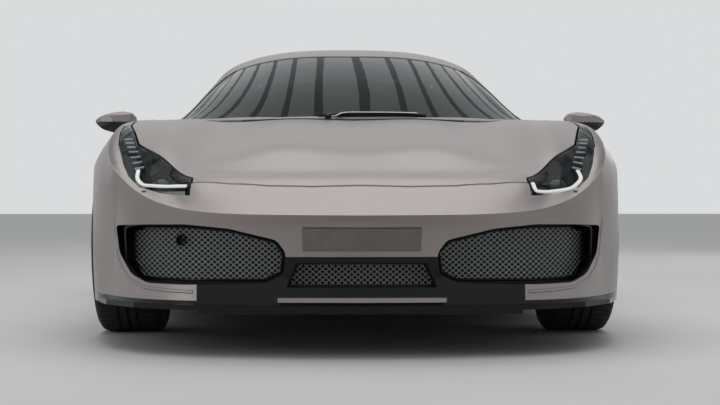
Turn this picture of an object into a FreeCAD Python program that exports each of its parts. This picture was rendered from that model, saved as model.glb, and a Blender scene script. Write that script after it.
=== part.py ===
"""A mid-engined two-seat supercar, at full size, in millimetres.

The car stands on its tyres at Z = 0, its nose points along -Y, its left side is +X and the
origin lies on the ground half way along it. The bodywork is four master skins (front clip, rear
clip, door sides and cabin). Each is lofted through hand-placed feature lines and given its wall
thickness, and the panels are cut from them along the shut lines.
"""
import FreeCAD
import Part
import math
import os

V = FreeCAD.Vector

# Overall layout
LENGTH = 4605.0
WHEELBASE = 2650.0
FRONT_OVERHANG = 1165.0
FRONT_TRACK = 1679.0
REAR_TRACK = 1649.0
NOSE_Y = -LENGTH / 2
FRONT_AXLE_Y = NOSE_Y + FRONT_OVERHANG
REAR_AXLE_Y = FRONT_AXLE_Y + WHEELBASE

# Walls and gaps
SKIN = 16.0
LID_GAP = 8.0
SHUT_GAP = 3.0
ROOF_WALL = 34.0
GLASS = 5.0
SEAT = 0.3
DOOR_WALL = 118.0
DOOR_FRONT_T = 8.0
DOOR_REAR_T = 10.5
CORNER_T = 4.0
REAR_CORNER_T = 15.0
TAIL_T = 18.0


def spline(points):
    """A natural cubic spline through (position, value) pairs, straight beyond its ends."""
    n = len(points) - 1
    s = [p[0] for p in points]
    v = [p[1] for p in points]
    h = [s[i + 1] - s[i] for i in range(n)]
    diag = [1.0] * (n + 1)
    rhs = [0.0] * (n + 1)
    upper = [0.0] * (n + 1)
    for i in range(1, n):
        slope_step = (v[i + 1] - v[i]) / h[i] - (v[i] - v[i - 1]) / h[i - 1]
        diag[i] = 2 * (h[i - 1] + h[i]) - h[i - 1] * upper[i - 1]
        upper[i] = h[i] / diag[i]
        rhs[i] = (6 * slope_step - h[i - 1] * rhs[i - 1]) / diag[i]
    bend = [0.0] * (n + 1)
    for i in range(n - 1, 0, -1):
        bend[i] = rhs[i] - upper[i] * bend[i + 1]

    def value(x):
        if x <= s[0]:
            slope = (v[1] - v[0]) / h[0] - h[0] * bend[1] / 6
            return v[0] + slope * (x - s[0])
        if x >= s[n]:
            slope = (v[n] - v[n - 1]) / h[n - 1] + h[n - 1] * bend[n - 1] / 6
            return v[n] + slope * (x - s[n])
        i = 0
        while s[i + 1] < x:
            i += 1
        a = s[i + 1] - x
        b = x - s[i]
        cubic = (bend[i] * a ** 3 + bend[i + 1] * b ** 3) / (6 * h[i])
        left = (v[i] / h[i] - bend[i] * h[i] / 6) * a
        return cubic + left + (v[i + 1] / h[i] - bend[i + 1] * h[i] / 6) * b

    return value


def line3(points):
    """A curve through 3-D points at whole-number parameters."""
    axes = [spline([(i, p[k]) for i, p in enumerate(points)]) for k in range(3)]
    return lambda t: V(axes[0](t), axes[1](t), axes[2](t))


def cornered_line(points, corners=(4, 15)):
    """A curve through 3-D points at whole-number parameters, free to turn at the corners."""
    bounds = [0] + list(corners) + [len(points) - 1]
    pieces = []
    for low, high in zip(bounds, bounds[1:]):
        span = range(low, high + 1)
        pieces.append([spline([(i, points[i][k]) for i in span]) for k in range(3)])

    def place(t):
        piece = pieces[sum(1 for c in corners if t > c)]
        return V(*[axis(t) for axis in piece])

    return place


def steps(low, high, count):
    return [low + (high - low) * i / count for i in range(count + 1)]


def flip(p):
    return V(-p.x, p.y, p.z)


# Thick skins: a grid of outer points and a grid of inner points become one closed solid

def row_curve(points):
    curve = Part.BSplineCurve()
    curve.interpolate(Points=points, Parameters=[float(i) for i in range(len(points))])
    return curve


def surface(grid):
    """A bicubic surface through a grid. Its edges depend only on the grid's edge points, so two
    grids that share an edge's points share the edge."""
    rows = [row_curve(row) for row in grid]
    columns = [row_curve([r.getPole(k + 1) for r in rows]) for k in range(rows[0].NbPoles)]
    poles = [[c.getPole(i + 1) for c in columns] for i in range(columns[0].NbPoles)]
    result = Part.BSplineSurface()
    result.buildFromPolesMultsKnots(
        poles, columns[0].getMultiplicities(), rows[0].getMultiplicities(),
        columns[0].getKnots(), rows[0].getKnots(), False, False, 3, 3)
    return result


def grid_normals(grid, outward):
    """Unit normals of a grid of points, on the side that outward(point) gives. Each is the mean
    over the cells round its point, so that it holds where two borders meet in line."""
    n = len(grid)
    m = len(grid[0])
    cells = []
    for i in range(n - 1):
        row = []
        for j in range(m - 1):
            one = grid[i + 1][j + 1] - grid[i][j]
            two = grid[i + 1][j] - grid[i][j + 1]
            normal = one.cross(two)
            normal.normalize()
            if normal.dot(outward(grid[i][j])) < 0:
                normal = normal * -1
            row.append(normal)
        cells.append(row)
    result = []
    for i in range(n):
        row = []
        for j in range(m):
            total = V(0, 0, 0)
            for a in {max(i - 1, 0), min(i, n - 2)}:
                for b in {max(j - 1, 0), min(j, m - 2)}:
                    total = total + cells[a][b]
            row.append(total.normalize())
        result.append(row)
    return result


def edge_rows(grid):
    return [grid[0], grid[-1], [r[0] for r in grid], [r[-1] for r in grid]]


def wall(outer_row, inner_row):
    outer = Part.Edge(row_curve(outer_row))
    inner = Part.Edge(row_curve(inner_row))
    return Part.makeRuledSurface(outer, inner)


def closed(faces):
    shell = Part.makeShell(faces)
    shell.sewShape(0.01)
    solid = Part.makeSolid(shell)
    if solid.Volume < 0:
        shell.reverse()
        solid = Part.makeSolid(shell)
    return solid


def thick(grids, shared=()):
    """One closed solid from (outer grid, inner grid) pairs. shared holds the (pair, edge) items
    that join another pair and so get no wall. Edges count first row, last row, first column,
    last column."""
    faces = []
    for k, (outer, inner) in enumerate(grids):
        faces += [surface(outer).toShape(), surface(inner).toShape()]
        for e, (o, i) in enumerate(zip(edge_rows(outer), edge_rows(inner))):
            if (k, e) not in shared:
                faces.append(wall(o, i))
    return closed(faces)


# The belt: five lines round the body from the nose, along the left side, to the tail.
# Each line has one point at every station, in X, Y and Z.
BOTTOM_LINE = [
    (0, -2235, 165), (300, -2225, 162), (560, -2165, 158), (730, -2040, 155), (835, -1870, 152),
    (905, -1690, 150), (945, -1400, 150), (950, -1000, 150), (925, -620, 150), (905, -150, 150),
    (905, 350, 150), (925, 760, 150), (955, 1150, 155), (972, 1512, 165), (955, 1850, 180),
    (880, 2090, 200), (650, 2195, 215), (320, 2235, 220), (0, 2245, 220)]
LOW_LINE = [
    (0, -2225, 285), (300, -2215, 283), (560, -2150, 282), (725, -2025, 285), (825, -1860, 290),
    (908, -1690, 290), (956, -1400, 290), (962, -1000, 290), (932, -620, 290), (900, -150, 290),
    (897, 350, 290), (930, 760, 290), (972, 1150, 300), (985, 1512, 310), (968, 1850, 330),
    (895, 2105, 350), (660, 2215, 360), (330, 2255, 362), (0, 2262, 362)]
MID_LINE = [
    (0, -2262, 385), (300, -2240, 388), (560, -2165, 395), (720, -2030, 415), (815, -1860, 445),
    (905, -1690, 465), (958, -1400, 480), (966, -1000, 480), (938, -620, 480), (915, -150, 480),
    (905, 350, 490), (940, 760, 500), (980, 1150, 510), (987.5, 1512, 520), (970, 1850, 530),
    (900, 2115, 540), (665, 2230, 545), (335, 2272, 545), (0, 2280, 545)]
HIGH_LINE = [
    (0, -2285, 428), (300, -2262, 431), (560, -2180, 443), (722, -2040, 480), (815, -1865, 545),
    (898, -1690, 600), (945, -1400, 650), (953, -1000, 665), (928, -620, 665), (915, -150, 670),
    (915, 350, 690), (945, 760, 710), (972, 1150, 730), (975, 1512, 740), (950, 1850, 735),
    (880, 2120, 725), (655, 2238, 720), (330, 2283, 718), (0, 2292, 718)]
CREST_LINE = [
    (0, -2302.5, 450), (300, -2276, 452), (560, -2187, 468), (725, -2040, 525), (825, -1868, 602),
    (865, -1690, 680), (868, -1400, 765), (850, -1000, 808), (838, -620, 822), (835, -150, 838),
    (838, 350, 862), (850, 760, 885), (858, 1150, 903), (855, 1512, 905), (835, 1850, 895),
    (770, 2125, 885), (590, 2235, 880), (300, 2290, 878), (0, 2302.5, 878)]
SIGNED = {}
for name, points in (("bottom", BOTTOM_LINE), ("low", LOW_LINE), ("mid", MID_LINE),
                     ("high", HIGH_LINE), ("crest", CREST_LINE)):
    SIGNED[name] = cornered_line(points)
BELT_CURVES = [SIGNED[k] for k in ("bottom", "low", "mid", "high", "crest")]
crest = SIGNED["crest"]

# The side scallop that feeds the intake ahead of each rear wheel: depth by Y, weight by height
SCALLOP_DEPTH = spline([(-620, 0), (-400, 8), (0, 34), (350, 62), (560, 84), (700, 90), (780, 62),
                        (860, 0)])
SCALLOP_MIDDLE = spline([(-620, 600), (0, 600), (350, 615), (700, 640)])
SCALLOP_HALF = spline([(-620, 60), (-200, 90), (200, 130), (700, 165)])


def scallop(y, z):
    if y < -620 or y > 860:
        return 0.0
    u = abs(z - SCALLOP_MIDDLE(y)) / SCALLOP_HALF(y)
    if u >= 1:
        return 0.0
    return max(0.0, SCALLOP_DEPTH(y)) * (1 - u * u) ** 2


def belt(t, v):
    """A point of the belt at station t on the left, or its mirror image for a negative t, with v
    from 0 at the bottom to 1 at the crest."""
    column = [c(abs(t)) for c in BELT_CURVES]
    p = V(*[spline([(i / 4, q[k]) for i, q in enumerate(column)])(v) for k in range(3)])
    p.x -= scallop(p.y, p.z)
    return flip(p) if t < 0 else p


def outward_belt(p):
    return V(p.x, p.y * 0.6, 0)


# The top skins: heights along lines that run fore and aft, each at a share of the crest's width
HOOD_COLUMNS = [
    (0.00, [(-2302, 450), (-2262, 483), (-2180, 545), (-2080, 583), (-1960, 570), (-1880, 585),
            (-1730, 658), (-1560, 705), (-1300, 762), (-960, 819)]),
    (0.35, [(-2277, 452), (-2240, 484), (-2160, 543), (-2060, 580), (-1945, 570), (-1860, 590),
            (-1720, 664), (-1560, 716), (-1300, 776), (-945, 820)]),
    (0.53, [(-2230, 457), (-2198, 487), (-2120, 542), (-2025, 577), (-1915, 578), (-1800, 622),
            (-1650, 668), (-1450, 712), (-1200, 765), (-915, 817)]),
    (0.65, [(-2190, 468), (-2160, 492), (-2085, 541), (-1995, 574), (-1890, 600), (-1780, 640),
            (-1600, 690), (-1400, 735), (-1150, 785), (-890, 817)]),
    (0.72, [(-2155, 478), (-2120, 500), (-2040, 548), (-1950, 590), (-1860, 632), (-1740, 680),
            (-1600, 724), (-1400, 770), (-1150, 805), (-875, 820)]),
    (0.80, [(-2095, 500), (-2060, 520), (-1980, 565), (-1880, 618), (-1780, 665), (-1650, 717),
            (-1500, 760), (-1350, 788), (-1137, 808), (-855, 818)]),
    (0.90, [(-1975, 553), (-1900, 590), (-1800, 641), (-1700, 687), (-1600, 725), (-1450, 766),
            (-1300, 791), (-1137, 806), (-950, 813), (-800, 816)])]
COWL_LINE = [(0.0, -960), (0.35, -945), (0.53, -915), (0.65, -890), (0.80, -835), (0.90, -765),
             (1.0, -620)]
DECK_COLUMNS = [
    (0.00, [(640, 1165), (850, 1112), (1050, 1050), (1300, 975), (1500, 930), (1750, 893),
            (2000, 882), (2295, 878)]),
    (0.35, [(640, 1152), (850, 1098), (1050, 1035), (1300, 962), (1500, 922), (1750, 893),
            (2000, 882), (2285, 878)]),
    (0.55, [(640, 1098), (850, 1045), (1050, 985), (1300, 925), (1500, 900), (1750, 886),
            (2000, 880), (2262, 879)]),
    (0.72, [(640, 1018), (850, 965), (1050, 925), (1300, 893), (1500, 882), (1750, 880),
            (2000, 879), (2230, 880)]),
    (0.86, [(640, 938), (850, 908), (1050, 897), (1300, 893), (1500, 890), (1750, 886),
            (2000, 883), (2165, 883)])]
ROOF_END_LINE = [(0.0, 640), (0.5, 638), (0.8, 615), (1.0, 560)]


def even_spline(pairs):
    """A spline in the share of the width that is even about the middle."""
    mirrored = [(-a, b) for a, b in reversed(pairs[1:])]
    return spline(mirrored + pairs)


def top_grid(columns, free_line, shares, side_stations, end_t):
    """Points of a top skin. Rows run across the car, from the end that meets the belt at stations
    up to end_t to the free line. Returns the grid and the belt stations of its first row."""
    corner = crest(end_t)
    limits = (0.0, end_t) if end_t < 9 else (TAIL_T, end_t)
    stations = []
    for share in shares:
        low, high = limits
        for _ in range(50):
            middle = (low + high) / 2
            if crest(middle).x < abs(share) * corner.x:
                low = middle
            else:
                high = middle
        found = end_t if abs(share) > 0.9999 else (low + high) / 2
        found = limits[0] if abs(share) < 0.0001 else found
        stations.append(found if share >= 0 else -found)
    free = even_spline(free_line)
    heights = [(a, spline(sorted(points))) for a, points in columns]
    grid = []
    residual = [0.0] * len(shares)
    first, last = crest(side_stations[0]), crest(side_stations[-1])
    for i, t in enumerate(side_stations):
        edge = crest(t)
        along = (edge.y - first.y) / (last.y - first.y)
        row = []
        for j, share in enumerate(shares):
            a = abs(share)
            front = crest(abs(stations[j]))
            y = (1 - along) * front.y + along * free(a)
            values = [(b, h(y)) for b, h in heights] + [(1.0, edge.z)]
            z = even_spline(values)(a)
            if i == 0:
                residual[j] = front.z - z
            z += residual[j] * (1 - along) ** 3
            row.append(V(edge.x * share, y, z))
        grid.append(row)
    for j in range(len(shares)):
        t = stations[j]
        grid[0][j] = crest(t) if t >= 0 else flip(crest(-t))
    for i, t in enumerate(side_stations):
        grid[i][-1] = crest(t)
        grid[i][0] = flip(crest(t))
    return grid, stations


def clip_solid(columns, free_line, shares, side_stations, end_t, rows, skin):
    """The thick skin of a whole end of the car: its top, its end face and its two sides."""
    top, stations = top_grid(columns, free_line, shares, side_stations, end_t)
    face = [[belt(t, v) if abs(t) != 0 else belt(abs(t), v) for t in stations] for v in rows]
    left = [[belt(t, v) for t in side_stations] for v in rows]
    right = [[flip(p) for p in row] for row in left]
    up = lambda p: V(0, 0, 1)
    normals = [grid_normals(top, up)]
    normals += [grid_normals(g, outward_belt) for g in (face, left)]
    normals.append([[flip(p) for p in row] for row in normals[2]])
    grids = [top, face, left, right]
    inner = [[[p - n * skin for p, n in zip(row, nrow)] for row, nrow in zip(g, ng)]
             for g, ng in zip(grids, normals)]
    # Edges that two grids share take one set of inner points, moved along both normals
    for j in range(len(shares)):
        q = both(top[0][j], normals[0][0][j], normals[1][-1][j], skin)
        inner[0][0][j] = q
        inner[1][-1][j] = q
    for i in range(len(side_stations)):
        q = both(top[i][-1], normals[0][i][-1], normals[2][-1][i], skin)
        inner[0][i][-1] = q
        inner[2][-1][i] = q
        inner[0][i][0] = flip(q)
        inner[3][-1][i] = flip(q)
    for k in range(len(rows)):
        if k < len(rows) - 1:
            q = both(face[k][-1], normals[1][k][-1], normals[2][k][0], skin)
        else:
            q = face[k][-1]
            total = normals[0][0][-1] + normals[1][k][-1] * 0.5 + normals[2][k][0] * 0.5
            total.normalize()
            q = q - total * skin * 1.35
            inner[0][0][-1] = q
            inner[0][0][0] = flip(q)
        inner[1][k][-1] = q
        inner[2][k][0] = q
        inner[1][k][0] = flip(q)
        inner[3][k][0] = flip(q)
    shared = {(0, 0), (0, 2), (0, 3), (1, 1), (1, 2), (1, 3), (2, 1), (2, 2), (3, 1), (3, 2)}
    return thick(list(zip(grids, inner)), shared), grids, normals


def both(p, n1, n2, depth):
    """The point inside an edge between two faces, at the same depth under each."""
    total = n1 + n2
    length = total.Length
    total.normalize()
    return p - total * (depth / max(0.55, length / 2))


SHARES = steps(-1, 1, 36)
BELT_ROWS = steps(0, 0.75, 8) + [1.0]
front_clip, front_grids, front_normals = clip_solid(HOOD_COLUMNS, COWL_LINE, SHARES, steps(CORNER_T, DOOR_FRONT_T, 24),
                        CORNER_T, BELT_ROWS, SKIN)
REAR_ROWS = steps(0, 1, 10)
rear_clip, rear_grids, rear_normals = clip_solid(DECK_COLUMNS, ROOF_END_LINE, SHARES, steps(REAR_CORNER_T, DOOR_REAR_T, 30),
                       REAR_CORNER_T, REAR_ROWS, SKIN)


def patch(points, normals, near, far):
    """The closed layer between two depths under a grid of points."""
    layers = [[[p - n * depth for p, n in zip(row, nrow)] for row, nrow in zip(points, normals)]
              for depth in (near, far)]
    return thick([tuple(layers)])


# The doors and sills: the belt between the front and rear clips
side_grid = [[belt(t, v) for t in steps(DOOR_FRONT_T, DOOR_REAR_T, 24)] for v in steps(0, 1, 16)]
side_inner = [[V(p.x - DOOR_WALL, p.y, p.z) for p in row] for row in side_grid]
side_block = thick([(side_grid, side_inner)])

# The greenhouse: lines over the cabin from the windscreen's foot to the end of the roof,
# listed from the middle of the car out to the foot of the side glass
ROOF_LINES = [
    [(0, -956, 819), (0, -560, 1000), (0, -110, 1152), (0, 250, 1204), (0, 636, 1165)],
    [(300, -943, 818), (300, -545, 995), (300, -100, 1140), (300, 250, 1190), (290, 636, 1150)],
    [(560, -881, 817), (555, -480, 960), (530, -60, 1083), (520, 250, 1130), (480, 632, 1100)],
    [(680, -822, 816), (662, -420, 908), (636, -20, 992), (632, 250, 1024), (650, 614, 1003)],
    [(748, -764, 815), (732, -400, 831), (735, 0, 846), (748, 250, 859), (838, 556, 873)]]


def roof_grid():
    lines = [line3(points) for points in ROOF_LINES]
    rows = []
    for s in steps(0, 4, 24):
        stations = [curve(s) for curve in lines]
        axes = []
        for k in range(3):
            sign = -1 if k == 0 else 1
            pairs = [(-j, sign * stations[j][k]) for j in range(4, 0, -1)]
            pairs += [(j, stations[j][k]) for j in range(5)]
            axes.append(spline(pairs))
        rows.append([V(*[axis(a) for axis in axes]) for a in steps(-4, 4, 32)])
    return rows


roof_points = roof_grid()
roof_normals = grid_normals(roof_points, lambda p: V(p.x, p.y * 0.0, 300))
cabin_shell = patch(roof_points, roof_normals, 0, ROOF_WALL)
cabin_glass = patch(roof_points, roof_normals, 3, 3 + GLASS)

top_points = front_grids[0]
top_normals = front_normals[0]

# Wheels and tyres
FRONT_TYRE_RADIUS = 340.0
REAR_TYRE_RADIUS = 346.0
FRONT_TYRE_WIDTH = 245.0
REAR_TYRE_WIDTH = 305.0
RIM_RADIUS = 262.0
BEAD_RADIUS = 250.0
BARREL_RADIUS = 238.0
SPOKE_COUNT = 10
HUB_RADIUS = 70.0
DISC_RADIUS = 192.0
DISC_HALF = 15.0
AXLE_RADIUS = 30.0
FIT = 0.3
ARCH_CLEARANCE = 36.0
KINGPIN_X = 789.0
WHEEL_X = {"front": FRONT_TRACK / 2, "rear": REAR_TRACK / 2}
WHEEL_Y = {"front": FRONT_AXLE_Y, "rear": REAR_AXLE_Y}
TYRE_RADIUS = {"front": FRONT_TYRE_RADIUS, "rear": REAR_TYRE_RADIUS}
TYRE_WIDTH = {"front": FRONT_TYRE_WIDTH, "rear": REAR_TYRE_WIDTH}

# Joint axes
DOOR_HINGE_X = 941.0
DOOR_HINGE_Y = -616.0
BONNET_HINGE_Y = -800.0
BONNET_HINGE_Z = 775.0
COVER_HINGE_Y = 684.0
COVER_HINGE_Z = 1145.0
COVER_GAP = 20.0

# Heights of the lower shut lines
DOOR_BOTTOM = 305.0
SKIRT_TOP = 298.0
VALANCE_TOP = 205.0
FIXED_GAP = 0.8

PARTS = "parts"
os.makedirs(PARTS, exist_ok=True)


def solids(shape, least=50.0):
    return [s for s in shape.Solids if abs(s.Volume) > least]


def save(node, *shapes):
    found = []
    for shape in shapes:
        found += solids(shape)
    body = found[0] if len(found) == 1 else Part.makeCompound(found)
    body.exportStep(PARTS + "/" + node + ".step")


def box(x0, x1, y0, y1, z0, z1):
    return Part.makeBox(x1 - x0, y1 - y0, z1 - z0, V(x0, y0, z0))


def both_sides(shape):
    return [shape, shape.mirror(V(0, 0, 0), V(1, 0, 0))]


def mirrored(shape):
    return shape.mirror(V(0, 0, 0), V(1, 0, 0))


def fused(shapes):
    shapes = list(shapes)
    if len(shapes) == 1:
        return shapes[0]
    return shapes[0].fuse(shapes[1:])


def cylinder(radius, start, end):
    a = V(*start)
    d = V(*end) - a
    return Part.makeCylinder(radius, d.Length, a, d)


def outline(points, radius=0.0):
    """A closed wire in the XY plane, with each corner eased by a short curve."""
    corners = [V(x, y, 0) for x, y in points]
    if radius <= 0:
        return Part.makePolygon(corners + [corners[0]])
    n = len(corners)
    edges = []
    ends = []
    for i in range(n):
        a = corners[i - 1]
        b = corners[i]
        c = corners[(i + 1) % n]
        cut = min(radius, 0.42 * (a - b).Length, 0.42 * (c - b).Length)
        p = b + (a - b).normalize() * cut
        q = b + (c - b).normalize() * cut
        ends.append((p, b, q))
    for i in range(n):
        p, b, q = ends[i]
        bend = Part.BezierCurve()
        bend.setPoles([p, b, q])
        edges.append(bend.toShape())
        edges.append(Part.makeLine(q, ends[(i + 1) % n][0]))
    return Part.Wire(edges)


def signed_area(points):
    n = len(points)
    return sum(points[i - 1][0] * points[i][1] - points[i][0] * points[i - 1][1] for i in range(n)) / 2


def grown(points, amount):
    """The outline with every side moved outward by the amount."""
    n = len(points)
    turn = 1 if signed_area(points) > 0 else -1
    result = []
    for i in range(n):
        (ax, ay), (bx, by), (cx, cy) = points[i - 1], points[i], points[(i + 1) % n]
        d1 = math.hypot(bx - ax, by - ay)
        d2 = math.hypot(cx - bx, cy - by)
        n1 = ((by - ay) / d1 * turn, (ax - bx) / d1 * turn)
        n2 = ((cy - by) / d2 * turn, (bx - cx) / d2 * turn)
        share = amount / (1 + n1[0] * n2[0] + n1[1] * n2[1])
        result.append((bx + (n1[0] + n2[0]) * share, by + (n1[1] + n2[1]) * share))
    return result


def prism(points, axis, low, high, grow=0.0, radius=0.0):
    """A prism along one axis. Points are (x, y) for z, (x, z) for y and (y, z) for x."""
    if signed_area(points) < 0:
        points = points[::-1]
    wire = outline(grown(points, grow) if grow else points, radius)
    face = Part.Face(wire)
    solid = face.extrude(V(0, 0, high - low))
    if axis == "z":
        solid.translate(V(0, 0, low))
        return solid
    if axis == "y":
        # (x, z) drawn in XY, turned so that it extrudes along -Y
        solid.rotate(V(0, 0, 0), V(1, 0, 0), 90)
        solid.translate(V(0, high, 0))
        return solid
    # (y, z) drawn in XY, turned so that it extrudes along +X
    solid.rotate(V(0, 0, 0), V(1, 1, 1), 120)
    solid.translate(V(low, 0, 0))
    return solid


def largest(shape):
    """The biggest solid of a shape, without the crumbs that a cut leaves at an edge."""
    return max(solids(shape), key=lambda s: s.Volume)


def mirror_points(points):
    """Outline points for x >= 0, completed by their mirror images."""
    return points + [(-x, y) for x, y in reversed(points) if x > 0.01]


def lathe_x(profile, centre):
    """A ring turned about a line along X through centre, from (radius, x) points."""
    points = [V(x, 0, r) for r, x in profile]
    face = Part.Face(Part.makePolygon(points + [points[0]]))
    ring = face.revolve(V(0, 0, 0), V(1, 0, 0), 360)
    ring.translate(V(*centre))
    return ring


# Bonnet, front lamps and the panels round them

LAMP = [(547, -2138), (653, -2072), (722, -2012), (766, -1935), (794, -1850), (832, -1690),
        (844, -1550), (846, -1410), (818, -1432), (762, -1690), (738, -1730), (640, -1887),
        (547, -2028)]
BONNET_HALF = [(0, -2182), (150, -2178), (300, -2160), (420, -2128), (547, -2072), (547, -2028),
               (640, -1887), (738, -1730), (762, -1690), (818, -1432), (822, -1280), (818, -1100),
               (805, -980), (786, -912), (740, -905), (600, -935), (450, -962), (250, -992),
               (0, -1005)]
bonnet_shut = mirror_points(BONNET_HALF)
bonnet = front_clip.common(prism(bonnet_shut, "z", 300, 1000, -LID_GAP / 2))
BONNET_REAR_GAP = 12.5
rear_edge = box(-900, 900, -1015, -700, 600, 900)
rear_edge = rear_edge.cut(prism(bonnet_shut, "z", 500, 1000, LID_GAP / 2 - BONNET_REAR_GAP))
bonnet = largest(bonnet.cut(rear_edge))
shell = front_clip.cut(prism(bonnet_shut, "z", 300, 1000, LID_GAP / 2))

lamp_cut = prism(LAMP, "z", 380, 1000)
shell = shell.cut(Part.makeCompound(both_sides(lamp_cut)))
lens_layer = patch(top_points, top_normals, 0, 4)
pan_layer = patch(top_points, top_normals, 62, 74)
side_layer = patch(top_points, top_normals, 4.3, 74)
lamp_lens = lens_layer.common(prism(LAMP, "z", 380, 1000, -3.5))
lamp_ring = prism(LAMP, "z", 380, 1000, -3).cut(prism(LAMP, "z", 300, 1100, -7))
lamp_bowl = fused([side_layer.common(lamp_ring), pan_layer.common(prism(LAMP, "z", 300, 1000, -3))])

# Wheel arches, and the openings of the nose
arches = []
for end in ("front", "rear"):
    radius = TYRE_RADIUS[end] + ARCH_CLEARANCE
    start = 560.0
    arches.append(cylinder(radius, (start, WHEEL_Y[end], TYRE_RADIUS[end]), (1100, WHEEL_Y[end], TYRE_RADIUS[end])))
arch_cut = {end: Part.makeCompound(both_sides(a)) for end, a in zip(("front", "rear"), arches)}
shell = shell.cut(arch_cut["front"])
SIDE_MOUTH = [(818, 414), (700, 419), (560, 421), (420, 408), (268, 372), (238, 330), (246, 264),
              (300, 237), (560, 228), (690, 230), (750, 256), (800, 322)]
SIDE_TRAY = [(776, 402), (700, 416), (560, 419), (420, 408), (268, 372), (238, 330), (246, 264),
             (300, 237), (560, 233), (720, 238), (768, 290)]
side_mouth = prism(SIDE_MOUTH, "y", -2500, -1500, 0, 16)
shell = shell.cut(Part.makeCompound(both_sides(side_mouth)))
centre_mouth = prism([(205, 300), (238, 222), (-238, 222), (-205, 300)], "y", -2500, -1900, 0, 8)
shell = shell.cut(centre_mouth)

# The valance is the black lower part of the nose; the bumper is painted; the wings lie behind
VALANCE = mirror_points([(980, 100), (980, 178), (522, 178), (522, 240), (300, 240), (255, 318)])
valance_zone = prism(VALANCE, "y", -2500, -1440)
valance_zone_grown = prism(VALANCE, "y", -2500, -1440, FIXED_GAP)
BUMPER_SIDE = [(-2500, 50), (-1440, 50), (-1440, 468), (-1700, 530), (-1842, 640), (-1880, 900),
               (-2500, 900)]
bumper_zone = prism(BUMPER_SIDE, "x", -1100, 1100)
bumper_zone_grown = prism(BUMPER_SIDE, "x", -1100, 1100, FIXED_GAP)
SCUTTLE = mirror_points([(640, -1050), (772, -897), (757, -700)])
scuttle_zone = prism(SCUTTLE, "z", 500, 1000)
scuttle_zone_grown = prism(SCUTTLE, "z", 500, 1000, FIXED_GAP)
nose = shell.common(bumper_zone)
valance = nose.common(valance_zone)
bumper = nose.cut(valance_zone_grown)
rest = shell.cut(bumper_zone_grown)
scuttle = rest.common(scuttle_zone)
wings = rest.cut(scuttle_zone_grown)
wing_left = [s for s in solids(wings) if s.CenterOfMass.x > 0]
wing_right = [s for s in solids(wings) if s.CenterOfMass.x < 0]

# Windscreen, side glass and roof frame
WINDSCREEN = mirror_points([
    (0, -934), (300, -921), (560, -858), (672, -796), (700, -752), (672, -560), (634, -400),
    (592, -250), (556, -155), (506, -98), (300, -120), (0, -132)])
SIDE_WINDOW = [(-700, 760), (-640, 838), (-480, 884), (-330, 935), (-200, 984), (-80, 1028),
               (60, 1064), (250, 1078), (400, 1060), (492, 1010), (536, 930), (548, 760)]
screen_hole = prism(WINDSCREEN, "z", 700, 1400)
side_holes = [prism(SIDE_WINDOW, "x", 420, 1000), prism(SIDE_WINDOW, "x", -1000, -420)]
DOOR_CLEARANCE = 6.0
door_room = side_block.translated(V(0, 0, DOOR_CLEARANCE)).common(
    box(500, 1100, -620 + 6 - DOOR_CLEARANCE, 556 + DOOR_CLEARANCE, DOOR_BOTTOM, 1000))
roof_frame = cabin_shell.cut(screen_hole).cut(Part.makeCompound(side_holes))
pin_room = box(694, 734, -850, -766, 700, 791)
roof_frame = largest(roof_frame.cut(Part.makeCompound([door_room, mirrored(door_room), pin_room, mirrored(pin_room)])))
scuttle = largest(scuttle.cut(roof_frame))
windscreen = cabin_glass.common(prism(WINDSCREEN, "z", 700, 1400, -0.6))
door_top = side_block.translated(V(0, 0, 0.5))
door_glass = cabin_glass.common(prism(SIDE_WINDOW, "x", 420, 1000, -6.0)).cut(door_top)

# Doors and sill skirts. A door starts a little behind the wing so that it can swing
door_zone = box(500, 1100, -620 + 6, 556, DOOR_BOTTOM, 1000)
door_shell = side_block.common(door_zone)
skirt_layer = patch(side_grid, grid_normals(side_grid, outward_belt), 0, 40)
skirt = skirt_layer.common(box(600, 1100, -619, 562, 100, SKIRT_TOP))

# Rear panels: engine cover, quarters, deck strips, bumper and diffuser
deck_points = rear_grids[0]
deck_normals = rear_normals[0]
deck_glass = patch(deck_points, deck_normals, 2, 2 + GLASS)
COVER = mirror_points([(430, COVER_HINGE_Y + COVER_GAP / 2 - LID_GAP / 2), (446, 1000), (480, 1400),
                       (512, 1700), (508, 1850), (440, 1915), (200, 1938)])
COVER_WINDOW = mirror_points([(330, 770), (352, 1000), (380, 1300), (392, 1440), (340, 1490)])
cover_front = box(-600, 600, 500, COVER_HINGE_Y - COVER_GAP / 2, 700, 1400)
cover_solid = rear_clip.common(prism(COVER, "z", 700, 1400, -LID_GAP / 2))
cover_hole = prism(COVER, "z", 700, 1400, LID_GAP / 2)
engine_cover = cover_solid.cut(prism(COVER_WINDOW, "z", 700, 1400))
engine_glass = deck_glass.common(prism(COVER_WINDOW, "z", 700, 1400, -0.6))
tail = rear_clip.cut(cover_hole).cut(arch_cut["rear"])
SIDE_INTAKE = [(706, 520), (712, 640), (730, 738), (800, 748), (846, 700), (852, 600), (834, 505),
               (790, 470), (730, 474)]
intake_hole = [prism(SIDE_INTAKE, "x", 700, 1100, 0, 18), prism(SIDE_INTAKE, "x", -1100, -700, 0, 18)]
TAIL_LAMP_X = 600.0
TAIL_LAMP_Z = 742.0
TAIL_LAMP_RADIUS = 74.0
EXHAUST_X = 330.0
EXHAUST_Z = 440.0
EXHAUST_RADIUS = 52.0
EXHAUST_WALL = 4.0
EXHAUST_END = 2292.0
holes = intake_hole[:]
for side in (-1, 1):
    holes.append(cylinder(TAIL_LAMP_RADIUS + 0.6, (side * TAIL_LAMP_X, 2100, TAIL_LAMP_Z),
                          (side * TAIL_LAMP_X, 2400, TAIL_LAMP_Z)))
    holes.append(cylinder(EXHAUST_RADIUS + 10, (side * EXHAUST_X, 2100, EXHAUST_Z),
                          (side * EXHAUST_X, 2400, EXHAUST_Z)))
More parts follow.
